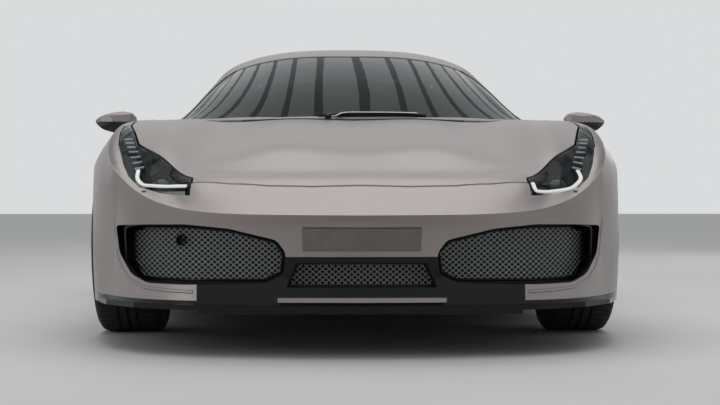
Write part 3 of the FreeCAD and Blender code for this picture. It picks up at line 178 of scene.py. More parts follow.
def hide(name, dark, light):
    # Finished leather: grain cells of about 2 mm, drawn at 3 mm, with a low sheen on their tops
    mat, tree, shader, place = start(name, dark, 0.5)
    cells = add(tree, "ShaderNodeTexVoronoi", inputs={"Vector": place, "Scale": 330.0}).outputs["Distance"]
    tones(tree, shader, cells, dark, light)
    sheen(tree, shader, noise(tree, place, 60, 3.0), 0.42, 0.58)
    relief(tree, shader, cells, 0.35, 0.3)
    return mat


def light_guide(name, colour, strength):
    # Frosted acrylic glowing evenly, a little stronger and weaker along its length: lit from its end where
    # its lamp is on, a painted glow where it is unlit
    mat, tree, shader, place = start(name, colour, 0.35, 0.0, {"Emission Color": linear(colour)})
    glow = add(tree, "ShaderNodeMapRange", inputs={0: noise(tree, place, 25, 1.0), 3: strength * 0.9,
                                                   4: strength * 1.1})
    tree.links.new(glow.outputs[0], shader.inputs["Emission Strength"])
    return mat


def carbon_weave(name):
    # Twill carbon under clear resin: 2 mm tows, drawn at 5 mm. The light and dark checker is a painted sheen:
    # the tows are one black, and their lie only changes how they catch the light
    mat, tree, shader, place = start(name, "#16171A", 0.3, 0.0, {"Coat Weight": 1.0, "Coat Roughness": 0.06})
    laid = add(tree, "ShaderNodeMapping", inputs={"Vector": place, "Rotation": (0.7, 0.5, 0.785)})
    tow_and_sheen = add(tree, "ShaderNodeTexChecker", inputs={"Vector": laid.outputs[0], "Scale": 200.0,
                                                    "Color1": linear("#0E0F11"), "Color2": linear("#2A2C30")})
    tree.links.new(tow_and_sheen.outputs[0], shader.inputs["Base Color"])
    relief(tree, shader, tow_and_sheen.outputs[1], 0.1, 0.1)
    return mat


PAINT = satin_lacquer()
CAPPED = masked_lacquer("capped_mirror_housing", 0.829)
SKIRT = masked_lacquer("masked_sill_skirt", 0.150)
GLOSS = moulded("gloss_black_abs_moulding", "#060708", "#0B0C0D", 0.14, 60.0, 0.02, 0.04, 0.28)
GRAINED = moulded("grained_black_polypropylene", "#101113", "#1B1C1E", 0.62, 1.5, 0.2)
BEZEL = moulded("satin_black_bezel_moulding", "#060708", "#0C0D0F", 0.42, 6.0, 0.05, 0.06, 0.12)
SEAL = moulded("black_epdm_seal", "#0D0D0E", "#161617", 0.8, 1.0, 0.1)
# Black ceramic for screens; also the thin black discs, plugs and strips that are painted shade in drill
# holes, exhaust pipes and handle recesses
BLACK_AND_SHADE = moulded("black_ceramic_print_and_painted_shade", "#08090A", "#0E0F10", 0.25, 20.0, 0.01)
RUBBER = moulded("moulded_tyre_rubber", "#131313", "#202020", 0.84, 4.0, 0.12)
TUB = moulded("black_coated_tub", "#0F1011", "#17181A", 0.6, 5.0, 0.2)
PLATE = moulded("blank_plate_satin", "#6A6664", "#72706E", 0.4, 40.0, 0.02)
SCREEN = glazing("tinted_laminated_glass", "#56696A", 0.0, 1.0, 1.2, "#9FC4C2")
SIDE_GLASS = glazing("tinted_tempered_glass", "#6B7C7E", 0.0, 1.0, 1.3, "#B4CFCD")
CLEAR = glazing("clear_coated_lens", "#D9DEE0", 0.0, 1.0, 1.07)
DOME = glazing("clear_projector_glass", "#5F6E78", 0.0, 0.75)
RUBY = glazing("red_acrylic_lens", "#C0141A", 0.04, 0.6)
ALLOY = worked_metal("satin_black_forged_alloy", "#2A2B2E", "#37383C", 0.36, 3.0)
BARE_ALLOY = worked_metal("cast_aluminium", "#7C7E81", "#929497", 0.5, 2.5)
STEEL = worked_metal("polished_stainless_steel", "#A6A4A0", "#BCBAB6", 0.24, 1.5, (1, 0.1, 1))
IRON = worked_metal("turned_brake_iron", "#6D6B68", "#8A8883", 0.38, 1.5)
CHROME = worked_metal("smoked_metallised_reflector", "#2E3033", "#3A3D40", 0.18, 12.0)
SILVERED = worked_metal("satin_metallised_reflector", "#8F9396", "#9DA1A4", 0.3, 12.0)
MIRROR = worked_metal("silvered_mirror_glass", "#DDE2E4", "#E6EAEC", 0.03, 80.0)
# Mesh wire: the pale grey colour is a painted highlight, standing in for the glint on dark wire
PAINTED_HIGHLIGHT_WIRE = moulded("grey_wire_painted_highlight", "#A6ABAE", "#B6BBBE", 0.3, 6.0, 0.05)
SUEDE = woven("charcoal_microfibre_suede", "#2A2B30", "#3E4046", 1.5, 0.35)
CLOTH = woven("grey_woven_seat_cloth", "#43464C", "#5E6269", 2.5, 0.25)
FELT = woven("black_needle_felt_lining", "#1D1E21", "#2E3034", 2.0, 0.15)
LEATHER = hide("black_finished_leather", "#1D1D20", "#2B2B2F")
GLOW = light_guide("white_frosted_light_guide", "#F1EDE6", 0.72)
# The unlit LED optic still glows faintly: a painted glow standing in for light caught in the frosted acrylic
OPTIC = light_guide("unlit_led_optic_with_painted_glow", "#A9AEB2", 0.12)
RED_GLOW = light_guide("red_frosted_light_guide", "#D8151B", 0.9)
CARBON = carbon_weave("lacquered_twill_carbon")
CALIPER = moulded("painted_caliper_enamel", "#2B2C30", "#34363A", 0.3, 10.0, 0.05)

DRESS = {
    PAINT: "front_bumper splitter_blade bonnet wing_left wing_right door_left door_right quarter_left "
           "quarter_right roof_frame roof_rear_bridge rear_deck_strip engine_cover rear_bumper rear_spoiler",
    CAPPED: "mirror_left mirror_right",
    SKIRT: "sill_skirts",
    GLOSS: "front_splitter rear_diffuser side_blades",
    GRAINED: "scuttle intake_grilles rear_grille side_ducts",
    BEZEL: "headlamp_bowls",
    LEATHER: "dashboard",
    SCREEN: "windscreen",
    SIDE_GLASS: "door_glass_left door_glass_right engine_glass",
    CLEAR: "headlamp_lenses",
    RUBY: "tail_lamps",
    MIRROR: "mirror_glass_left mirror_glass_right",
    TUB: "monocoque front_frame rear_frame",
    BARE_ALLOY: "engine_block front_suspension rear_suspension knuckle_left knuckle_right",
    STEEL: "exhaust exhaust_tip_left exhaust_tip_right",
    SUEDE: "seats steering_wheel",
    RUBBER: "tyre_front_left tyre_front_right tyre_rear_left tyre_rear_right",
    ALLOY: "rim_front_left rim_front_right rim_rear_left rim_rear_right",
}
for material, names in DRESS.items():
    for name in names.split():
        data = nodes[name].data
        data.materials.clear()
        data.materials.append(material)


# Building pieces

def linked(name, data):
    obj = bpy.data.objects.new(name, data)
    scene.collection.objects.link(obj)
    return obj


def settle(obj, material, body="body", crease=35.0):
    """Gives an object its material and body. A mesh is smooth but for edges sharper than the crease."""
    obj.data.materials.append(material)
    if obj.type == "MESH":
        obj.data.polygons.foreach_set("use_smooth", [True] * len(obj.data.polygons))
        obj.data.set_sharp_from_angle(angle=math.radians(crease))
    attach(obj, body)
    return obj


def piece(name, shape, material, body="body", crease=35.0):
    """A mesh in the row frame, from a shape's points and faces."""
    verts, faces = shape
    mesh = bpy.data.meshes.new(name)
    mesh.from_pydata([tuple(v) for v in verts], [], faces)
    mesh.validate()
    return settle(linked(name, mesh), material, body, crease)


def from_bmesh(name, bm, material, body="body", crease=35.0):
    mesh = bpy.data.meshes.new(name)
    bmesh.ops.recalc_face_normals(bm, faces=bm.faces[:])
    bm.to_mesh(mesh)
    bm.free()
    return settle(linked(name, mesh), material, body, crease)


def quads(rows, columns, close_rows=False, close_columns=False):
    """Faces of a grid of points listed row by row."""
    faces = []
    for i in range(rows if close_rows else rows - 1):
        for j in range(columns if close_columns else columns - 1):
            a = (i + 1) % rows
            b = (j + 1) % columns
            faces.append((i * columns + j, i * columns + b, a * columns + b, a * columns + j))
    return faces


def skinned(rows, columns):
    """Faces round closed rows of points, and one face over each end."""
    ends = [tuple(range(columns - 1, -1, -1)), tuple(range((rows - 1) * columns, rows * columns))]
    return quads(rows, columns, False, True) + ends


def turned(profile, centre, axis, segments=48):
    """A shape: a closed profile of (radius, along) turned about an axis. A radius of 0.0001 is the axis."""
    axis = Vector(axis).normalized()
    side = axis.orthogonal().normalized()
    across = axis.cross(side)
    verts = []
    for i in range(segments):
        angle = 2 * math.pi * i / segments
        out = side * math.cos(angle) + across * math.sin(angle)
        verts += [Vector(centre) + out * r + axis * a for r, a in profile]
    return verts, quads(segments, len(profile), True, True)


def joined(parts):
    """Several shapes as one."""
    verts, faces = [], []
    for v, f in parts:
        shift = len(verts)
        verts += v
        faces += [tuple(i + shift for i in face) for face in f]
    return verts, faces


def tube(name, lines, radius, material, body="body", closed=False, sides=2):
    """Round bars along lines of points, as one curve."""
    curve = bpy.data.curves.new(name, "CURVE")
    curve.dimensions = "3D"
    curve.bevel_depth = radius
    curve.bevel_resolution = sides
    curve.use_fill_caps = True
    for line in lines:
        spline = curve.splines.new("POLY")
        spline.points.add(len(line) - 1)
        for point, p in zip(spline.points, line):
            point.co = (p[0], p[1], p[2], 1.0)
        spline.use_cyclic_u = closed
    return settle(linked(name, curve), material, body)


def strip(points, normals, width, thickness):
    """A shape: a flat bar with rounded edges along a line, its broad face along the normals."""
    n = len(points)
    h, t = width / 2, thickness / 2
    section = [(-h, -t * 0.4), (-h, t * 0.4), (-h + t * 0.6, t), (h - t * 0.6, t), (h, t * 0.4),
               (h, -t * 0.4), (h - t * 0.6, -t), (-h + t * 0.6, -t)]
    verts = []
    for i, point in enumerate(points):
        along = (Vector(points[min(i + 1, n - 1)]) - Vector(points[max(i - 1, 0)])).normalized()
        up = Vector(normals[i]).normalized()
        side = along.cross(up).normalized()
        up = side.cross(along)
        verts += [Vector(point) + side * u + up * v for u, v in section]
    return verts, skinned(n, len(section))


def ribbon(path, width, thickness, lift=0.0):
    """A shape: a flat bar along (point, normal) pairs, raised by the lift."""
    return strip([p + n * lift for p, n in path], [n for p, n in path], width, thickness)


# How far off a draped panel's rays start, and how far along a missed ray the nearest point is looked for
OUTSIDE = 4.0
TREES = {}


def cast(node, origin, direction):
    """Where a ray first meets a CAD node, and the surface's normal there, turned to face the ray."""
    if node not in TREES:
        mesh = nodes[node].data
        TREES[node] = BVHTree.FromPolygons([v.co for v in mesh.vertices],
                                           [tuple(p.vertices) for p in mesh.polygons])
    origin, direction = Vector(origin), Vector(direction)
    hit, normal = TREES[node].ray_cast(origin, direction)[:2]
    if hit is None:
        hit, normal = TREES[node].find_nearest(origin + direction * OUTSIDE)[:2]
    if normal.dot(direction) > 0:
        normal = -normal
    return hit, normal


def from_above(node, x, y):
    return cast(node, (x, y, 2.0), DOWN)


def from_side(node, side, y, z):
    return cast(node, (side * 3.0, y, z), (-side, 0, 0))


def from_end(node, x, z, way):
    """Looks along the car: way is 1 from the nose and -1 from the tail."""
    return cast(node, (x, -way * 5.0, z), (0, way, 0))


def even_line(points, step, closed=False):
    """Points along a polyline, no further apart than the step."""
    ends = points[1:] + ([points[0]] if closed else [])
    result = []
    for a, b in zip(points, ends):
        a, b = Vector(a), Vector(b)
        count = max(1, math.ceil((b - a).length / step))
        result += [a.lerp(b, i / count) for i in range(count)]
    if not closed:
        result.append(Vector(points[-1]))
    return result


def curved(points, per_span=6, closed=False):
    """A smooth line through points, by Catmull-Rom."""
    n = len(points)
    result = []
    for i in range(n if closed else n - 1):
        p = [Vector(points[(i + k) % n if closed else min(max(i + k, 0), n - 1)]) for k in (-1, 0, 1, 2)]
        for j in range(per_span):
            t = j / per_span
            result.append(0.5 * (2 * p[1] + (p[2] - p[0]) * t
                                 + (2 * p[0] - 5 * p[1] + 4 * p[2] - p[3]) * t * t
                                 + (3 * p[1] - p[0] - 3 * p[2] + p[3]) * t ** 3))
    if not closed:
        result.append(Vector(points[-1]))
    return result


def draped(outline, axis, outward, node, lift, thickness, step=0.025):
    """A bmesh panel laid on a CAD surface. The outline lies across the axis; outward is -1 or 1."""
    bm = bmesh.new()
    plane = [i for i in range(3) if i != axis]
    corners = []
    for u, v in outline:
        co = [0.0, 0.0, 0.0]
        co[plane[0]], co[plane[1]] = u, v
        corners.append(bm.verts.new(co))
    bm.faces.new(corners)
    for k in (0, 1):
        low, high = min(p[k] for p in outline), max(p[k] for p in outline)
        across = [0.0, 0.0, 0.0]
        across[plane[k]] = 1.0
        count = int((high - low) / step)
        for i in range(1, count + 1):
            co = [0.0, 0.0, 0.0]
            co[plane[k]] = low + (high - low) * i / (count + 1)
            everything = bm.verts[:] + bm.edges[:] + bm.faces[:]
            bmesh.ops.bisect_plane(bm, geom=everything, plane_co=co, plane_no=across)
    toward = Vector((0, 0, 0))
    toward[axis] = outward
    for v in bm.verts:
        v.co = cast(node, v.co + toward * OUTSIDE, -toward)[0]
    bm.normal_update()
    if sum(f.normal.dot(toward) for f in bm.faces) < 0:
        bmesh.ops.reverse_faces(bm, faces=bm.faces[:])
        bm.normal_update()
    for v in bm.verts:
        v.co += v.normal * lift
    bmesh.ops.solidify(bm, geom=bm.faces[:], thickness=-thickness)
    return bm


# Headlamps: a ribbed bezel, LED steps, a projector, a reflector and a light guide under each lens

def under_lens(side, x, y, depth):
    """A point at a depth under the lens's face, and the face's normal there, evened out along the lens."""
    hit, normal = from_above("headlamp_lenses", side * x, y)
    lens_faces = Vector((side * 0.14, -0.44, 0.88))
    normal = (normal * 0.3 + lens_faces * 0.7).normalized()
    return hit - normal * depth, normal


BEZEL_OUTLINE = [(0.566, -2.118), (0.650, -2.058), (0.712, -2.002), (0.754, -1.930), (0.782, -1.848),
                 (0.818, -1.690), (0.830, -1.556), (0.826, -1.462), (0.774, -1.690), (0.748, -1.738),
                 (0.652, -1.892), (0.562, -2.030)]
LED_TOP = (0.813, -1.585)
LED_FOOT = (0.744, -1.850)
LED_COUNT = 7
LED_DEPTH = 0.020
CUP_DEPTH = 0.027
GUIDE_DEPTH = 0.009
RAIL_DEPTH = 0.0215
GUIDES = {"left": [(0.740, -1.885), (0.742, -1.935), (0.712, -1.995), (0.680, -2.030), (0.640, -2.056),
                   (0.590, -2.084), (0.570, -2.086), (0.566, -2.045)],
          "right": [(0.742, -1.885), (0.738, -1.940), (0.716, -1.985), (0.690, -2.005), (0.650, -2.028),
                    (0.600, -2.048), (0.566, -2.066)]}
for name, side in SIDES:
    flat = [(side * x, y) for x, y in BEZEL_OUTLINE]
    bm = draped(flat, 2, 1, "headlamp_lenses", -0.036, 0.003, 0.02)
    from_bmesh("lamp_bezel_" + name, bm, BEZEL)
    cups, lights = [], []
    for i in range(LED_COUNT):
        share = i / (LED_COUNT - 1)
        x = LED_TOP[0] + (LED_FOOT[0] - LED_TOP[0]) * share
        y = LED_TOP[1] + (LED_FOOT[1] - LED_TOP[1]) * share
        half = 0.0150 + 0.001 * math.sin(math.pi * share)
        light = [under_lens(side, x + s * half, y, LED_DEPTH) for s in (-1, 0, 1)]
        lights.append(ribbon(light, 0.011, 0.007))
        cup = [under_lens(side, x + s * (half + 0.003), y, CUP_DEPTH) for s in (-1, 0, 1)]
        cups.append(ribbon(cup, 0.022, 0.014))
    piece("led_steps_" + name, joined(lights), OPTIC)
    piece("led_cups_" + name, joined(cups), CHROME)
    course = curved([(x, y, 0) for x, y in GUIDES[name]], 5)
    guide = [under_lens(side, p.x, p.y, GUIDE_DEPTH) for p in course]
    piece("light_guide_" + name, ribbon(guide, 0.013, 0.007), GLOW)
    rail = [under_lens(side, p.x, p.y, RAIL_DEPTH) for p in course]
    piece("guide_rail_" + name, ribbon(rail, 0.019, 0.016), BEZEL)
    centre = under_lens(side, 0.662, -1.985, 0.050)[0]
    look = Vector((side * 0.05, -0.90, 0.44)).normalized()
    dome = [(0.0001, 0.040), (0.010, 0.0388), (0.020, 0.0345), (0.028, 0.0283), (0.034, 0.0205),
            (0.0375, 0.010), (0.0385, 0.0), (0.0385, -0.012), (0.0001, -0.012)]
    piece("projector_lens_" + name, turned(dome, centre, look, 40), DOME)
    barrel = [(0.0395, -0.016), (0.0395, 0.004), (0.042, 0.008), (0.0455, 0.007), (0.047, 0.002),
              (0.047, -0.016)]
    piece("projector_barrel_" + name, turned(barrel, centre, look, 40), BEZEL)
    glare = [(0.0001, -0.014), (0.037, -0.014), (0.037, -0.017), (0.0001, -0.017)]
    piece("projector_reflector_" + name, turned(glare, centre, look, 40), CHROME)
    tray = [(0.700, -2.018), (0.655, -2.052), (0.600, -2.086), (0.572, -2.100), (0.574, -2.062),
            (0.640, -2.036)]
    bm = draped([(side * x, y) for x, y in tray], 2, 1, "headlamp_lenses", -0.022, 0.002, 0.02)
    from_bmesh("lower_reflector_" + name, bm, SILVERED)
    ribs = [[under_lens(side, 0.632 - 0.008 * k + 0.016 * j, -1.865 - 0.018 * k - 0.012 * j, 0.031)[0]
             for j in range(5)] for k in range(7)]
    tube("bezel_ribs_" + name, ribs, 0.0022, BEZEL)

# Grilles: wire woven on the diagonal in front of each black tray, coloured pale grey as a painted highlight

SIDE_MESH = [(0.758, 0.396), (0.698, 0.408), (0.560, 0.411), (0.421, 0.400), (0.276, 0.364), (0.248, 0.328),
             (0.256, 0.270), (0.304, 0.245), (0.560, 0.241), (0.714, 0.246), (0.754, 0.294)]
CENTRE_MESH = [(0.198, 0.293), (0.229, 0.229), (-0.229, 0.229), (-0.198, 0.293)]
REAR_MESH = [(0.462, 0.608), (0.496, 0.642), (0.491, 0.792), (-0.491, 0.792), (-0.496, 0.642),
             (-0.462, 0.608)]
CELL_X = 0.0205
CELL_Z = 0.0175
MESH_GAP = 0.018
WEAVE = 0.0009


def clipped(a, b, outline):
    """The stretch of a line that lies inside a convex-enough outline, or None."""
    crossings = []
    n = len(outline)
    for i in range(n):
        (x1, y1), (x2, y2) = outline[i - 1], outline[i]
        dx, dy, ex, ey = b[0] - a[0], b[1] - a[1], x2 - x1, y2 - y1
        cross = dx * ey - dy * ex
        if abs(cross) < 1e-12:
            continue
        t = ((x1 - a[0]) * ey - (y1 - a[1]) * ex) / cross
        u = ((x1 - a[0]) * dy - (y1 - a[1]) * dx) / cross
        if 0 <= u <= 1:
            crossings.append(t)
    if len(crossings) < 2:
        return None
    low, high = min(crossings), max(crossings)
    return [(a[0] + (b[0] - a[0]) * t, a[1] + (b[1] - a[1]) * t) for t in (low, high)]


def mesh_lines(outline, place):
    """Both families of woven wires over an outline in X and Z. place gives a point's Y."""
    lines = []
    xs, zs = [p[0] for p in outline], [p[1] for p in outline]
    tall = (max(zs) - min(zs)) / CELL_Z * CELL_X
    for turn in (1, -1):
        count = int((max(xs) - min(xs) + tall) / CELL_X) + 2
        for k in range(count):
            foot = min(xs) - tall + k * CELL_X if turn > 0 else min(xs) + k * CELL_X
            ends = clipped((foot, min(zs)), (foot + turn * CELL_X, min(zs) + CELL_Z), outline)
            if ends is None:
                continue
            (x1, z1), (x2, z2) = ends
            pieces = max(1, int(abs(z2 - z1) / (CELL_Z / 2)))
            line = []
            for i in range(pieces + 1):
                x = x1 + (x2 - x1) * i / pieces
                z = z1 + (z2 - z1) * i / pieces
                over = WEAVE if (i + k) % 2 == (turn > 0) else -WEAVE
                line.append((x, place(x, z) + over, z))
            lines.append(line)
    return lines


def before_tray(node, way, gap):
    """The Y of a point a gap in front of a tray, by its X and Z."""
    def place(x, z):
        return from_end(node, x, z, way)[0].y - way * gap
    return place


in_front = before_tray("intake_grilles", 1, MESH_GAP)
for name, side in SIDES:
    outline = [(side * x, z) for x, z in SIDE_MESH]
    tube("side_mesh_" + name, mesh_lines(outline, in_front), 0.0012, PAINTED_HIGHLIGHT_WIRE, sides=0)
    rim = even_line([Vector((x, 0, z)) for x, z in outline], 0.02, True)
    rim = [Vector((p.x, in_front(p.x * 0.995, p.z), p.z)) for p in rim]
    tube("side_mesh_frame_" + name, [rim], 0.0042, GLOSS, closed=True)
for name, outline, radius, place in (
        ("centre_mesh", CENTRE_MESH, 0.0013, before_tray("intake_grilles", 1, MESH_GAP + 0.004)),
        ("rear_mesh", REAR_MESH, 0.0014, before_tray("rear_grille", -1, MESH_GAP))):
    tube(name, mesh_lines(outline, place), radius, PAINTED_HIGHLIGHT_WIRE, sides=0)

# Fins: a rounded painted edge outside each mouth

FIN = [(0.831, 0.430), (0.824, 0.380), (0.813, 0.320), (0.792, 0.275), (0.760, 0.240), (0.700, 0.216),
       (0.620, 0.209), (0.536, 0.206)]
for name, side in SIDES:
    line = even_line([Vector((side * x, 0, z)) for x, z in FIN], 0.015)
    line = [from_end("front_bumper", p.x, p.z, 1) for p in line]
    piece("mouth_fin_" + name, ribbon(line, 0.011, 0.007, -0.001), PAINT)

# The horn's mouth behind the right intake's mesh, a little way in front of the tray

horn = Vector((-0.578, 0, 0.369))
horn.y = before_tray("intake_grilles", 1, 0.030)(horn.x, horn.z)
ring = [(0.0125, 0.0), (0.0135, 0.004), (0.0165, 0.004), (0.0180, 0.0), (0.0180, -0.028), (0.0125, -0.028)]
piece("horn_mouth", turned(ring, horn, (0, -1, 0), 32), GLOSS)
cone = [(0.0001, -0.002), (0.005, -0.004), (0.0122, -0.012), (0.0122, -0.016), (0.0001, -0.016)]
piece("horn_cone", turned(cone, horn, (0, -1, 0), 32), GRAINED)

# A blank plate on the nose, and a blank one on the tail

for end, way, x, low, high in (("front", -1, 0.186, 0.338, 0.410), ("rear", 1, 0.160, 0.445, 0.545)):
    outline = [(-x, low), (x, low), (x, high), (-x, high)]
    bm = draped(outline, 1, way, end + "_bumper", 0.0015, 0.004, 0.03)
    from_bmesh(end + "_plate_blank", bm, PLATE)

# Headlamp washer caps, in the bumper beside the lamps

for name, side in SIDES:
    line = [from_above("front_bumper", side * (0.704 + k * 0.006), -2.044 + 0.003 * k) for k in (-1, 0, 1)]
    piece("washer_cap_" + name, ribbon(line, 0.009, 0.003, 0.0005), GLOSS)

# Wiper: an arm and a rubber blade parked along the foot of the screen

blade = [from_above("windscreen", -0.14 + 0.036 * k, -0.921 + 0.0001 * k * k) for k in range(13)]
piece("wiper_blade", ribbon(blade, 0.008, 0.010, 0.005), SEAL)
spine = [(p + n * 0.011, n) for p, n in blade[1:-1]]
piece("wiper_spine", ribbon(spine, 0.005, 0.004), GLOSS)
pivot, pivot_up = from_above("scuttle", -0.100, -0.962)
arm = curved([pivot + pivot_up * 0.012, pivot + Vector((0.03, 0.016, 0.014)), spine[2][0] + UP * 0.005,
              spine[5][0] + UP * 0.005, spine[8][0] + UP * 0.004, spine[10][0] + UP * 0.003], 5)
arm_face = Vector((0, -0.35, 0.94))
piece("wiper_arm", strip(arm, [arm_face] * len(arm), 0.009, 0.004), STEEL)
cap = [(0.0001, 0.012), (0.009, 0.011), (0.013, 0.006), (0.014, -0.012), (0.0001, -0.012)]
piece("wiper_pivot", turned(cap, pivot + pivot_up * 0.010, pivot_up, 32), GLOSS)
slats = [[from_above("scuttle", x, -0.985 + 0.0085 * k + 0.09 * x * x)[0] + UP * 0.001
          for x in [-0.44 + 0.055 * j for j in range(17)]] for k in range(9)]
tube("scuttle_slats", slats, 0.0018, GRAINED, sides=0)

# Front bay: a felt-lined luggage tub between the rails, with a ledge out to the wings under the bonnet

LEDGE_OUT = [(-2.06, 0.500), (-1.95, 0.565), (-1.85, 0.630), (-1.75, 0.680), (-1.60, 0.700), (-1.00, 0.700)]
TUB_ROWS = 37
TUB_FRONT = -2.040
TUB_LENGTH = 1.143
UNDER_BONNET = 0.038


def ledge_reach(y):
    for (y0, x0), (y1, x1) in zip(LEDGE_OUT, LEDGE_OUT[1:]):
        if y <= y1:
            return x0 + (x1 - x0) * (y - y0) / (y1 - y0)
    return LEDGE_OUT[-1][1]


rows = []
for k in range(TUB_ROWS):
    y = TUB_FRONT + TUB_LENGTH * k / (TUB_ROWS - 1)
    out = ledge_reach(y)
    row = []
    for side in (-1, 1):
        half = []
        for x in (out, (out + 0.392) / 2, 0.392):
            z = cast("bonnet", (side * x, min(y, -1.05), 0.3), UP)[0].z - UNDER_BONNET
            half.append((side * x, y, z))
        top = half[-1][2]
        half += [(side * 0.376, y, top - 0.004), (side * 0.371, y, top - 0.018), (side * 0.371, y, 0.195),
                 (side * 0.366, y, 0.178), (side * 0.352, y, 0.170), (side * 0.14, y, 0.1695)]
        row += half if side < 0 else half[::-1]
    rows.append(row)
bm = bmesh.new()
grid = [[bm.verts.new(p) for p in row] for row in rows]
count = len(rows[0])
for k in range(TUB_ROWS - 1):
    for i in range(count - 1):
        # The ledge stops five rows before the tub does
        if k >= 31 and (i < 2 or i > count - 4):
            continue
        bm.faces.new((grid[k][i], grid[k][i + 1], grid[k + 1][i + 1], grid[k + 1][i]))
for end in (0, TUB_ROWS - 1):
    bm.faces.new(grid[end][3:count - 3])
bmesh.ops.recalc_face_normals(bm, faces=bm.faces[:])
bmesh.ops.solidify(bm, geom=bm.faces[:], thickness=0.0025)
from_bmesh("front_luggage_tub", bm, FELT)

# Wheels: tread rubber, twin-spoke rims, vented discs whose drill holes are painted shade, and calipers

# dish and sag shape the rear spokes; lift and slim bring the front ones clear of the calipers
WHEELS = {"front": {"x": 0.8395, "y": -1.1375, "r": 0.340, "half": 0.1225, "face": 0.066,
                    "dish": 0.0, "sag": 0.0, "taper": 0.0, "lift": 0.010, "slim": 0.008,
                    "grooves": (-0.034, 0.0, 0.034)},
          "rear": {"x": 0.8245, "y": 1.5125, "r": 0.346, "half": 0.1525, "face": 0.084,
                   "dish": 0.012, "sag": 0.006, "taper": 0.005, "lift": 0.0, "slim": 0.0,
                   "grooves": (-0.057, -0.019, 0.019, 0.057)}}
PITCHES = 66
PITCH_SHARES = (0.0, 0.03, 0.11, 0.14, 0.57)
GROOVE_DEPTH = 0.0068
BEAD_SECTION = ((0.2504, 0.024), (0.2620, 0.0235), (0.2660, 0.0135), (0.2760, 0.0050), (0.2850, 0.0016),
                (0.2868, 0.0004), (0.2900, 0.0016), (0.3030, 0.0010), (0.3130, 0.0030), (0.3150, 0.0018),
                (0.3180, 0.0042))


def tyre_section(wheel):
    """Rows of (radius, place across, depth of a sipe) from bead to bead over the tread."""
    half, outer = wheel["half"], wheel["r"]
    wall = [(r, half - inset, 0.0) for r, inset in BEAD_SECTION]
    wall += [(outer - 0.0125, half - 0.0095, 0.0), (outer - 0.0075, half - 0.0140, 0.0018),
             (outer - 0.0040, half - 0.0200, 0.0045), (outer - 0.0016, half - 0.0290, 0.0055)]
    reach = half - 0.036
    places = [reach * k / 14 for k in range(-14, 15)]
    for g in wheel["grooves"]:
        places = [p for p in places if abs(p - g) > 0.0072] + [g - 0.0050, g - 0.0040, g + 0.0040, g + 0.0050]
    tread = []
    for p in sorted(places):
        near = min(abs(p - g) for g in wheel["grooves"])
        sunk = near < 0.0045
        crown = 0.0010 * (p / reach) ** 2
        sipe = 0.0055 if abs(p) > wheel["grooves"][-1] + 0.010 else 0.0030
        tread.append((outer - crown - (GROOVE_DEPTH if sunk else 0.0), p,
                      0.0 if sunk or near < 0.0055 else sipe))
    return wall + tread[::-1] + [(r, -u, s) for r, u, s in reversed(wall)]


def tyre_piece(wheel, which, side):
    rows = tyre_section(wheel)
    columns = PITCHES * len(PITCH_SHARES)
    verts = []
    for radius, across, sipe in rows:
        slant = (0.9 * abs(across) - 0.15 * across) / wheel["r"] * 0.35
        shoulder = abs(across) > wheel["grooves"][-1] + 0.010
        for k in range(columns):
            pitch, part = divmod(k, len(PITCH_SHARES))
            angle = 2 * math.pi * (pitch + PITCH_SHARES[part]) / PITCHES + slant
            r = radius - (sipe if part in (1, 2) and (shoulder or pitch % 2) else 0.0)
            verts.append((side * (wheel["x"] + across), wheel["y"] + r * math.cos(angle),
                          wheel["r"] + r * math.sin(angle)))
    faces = quads(len(rows), columns, True, True)
    obj = piece("tread_tyre_" + which, (verts, faces), RUBBER, "wheel_" + which, 40)
    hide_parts("tyre_" + which)


def toward_rim(angle):
    """The way out from a circle's centre, for a circle seen from the car's side."""
    return Vector((0, math.cos(angle), math.sin(angle)))


def tapered(points, face, widths, depths):
    """A shape: a bevelled bar whose width and depth change along it. face is where its broad side looks."""
    verts = []
    n = len(points)
    for i, p in enumerate(points):
        along = (points[min(i + 1, n - 1)] - points[max(i - 1, 0)]).normalized()
        across = along.cross(face).normalized()
        front = across.cross(along)
        h, t = widths[i] / 2, depths[i] / 2
        b = min(h, t) * 0.35
        section = [(-h, -t + b), (-h, t - b), (-h + b, t), (h - b, t), (h, t - b), (h, -t + b), (h - b, -t),
                   (-h + b, -t)]
        verts += [p + across * u + front * v for u, v in section]
    return verts, skinned(n, len(section))


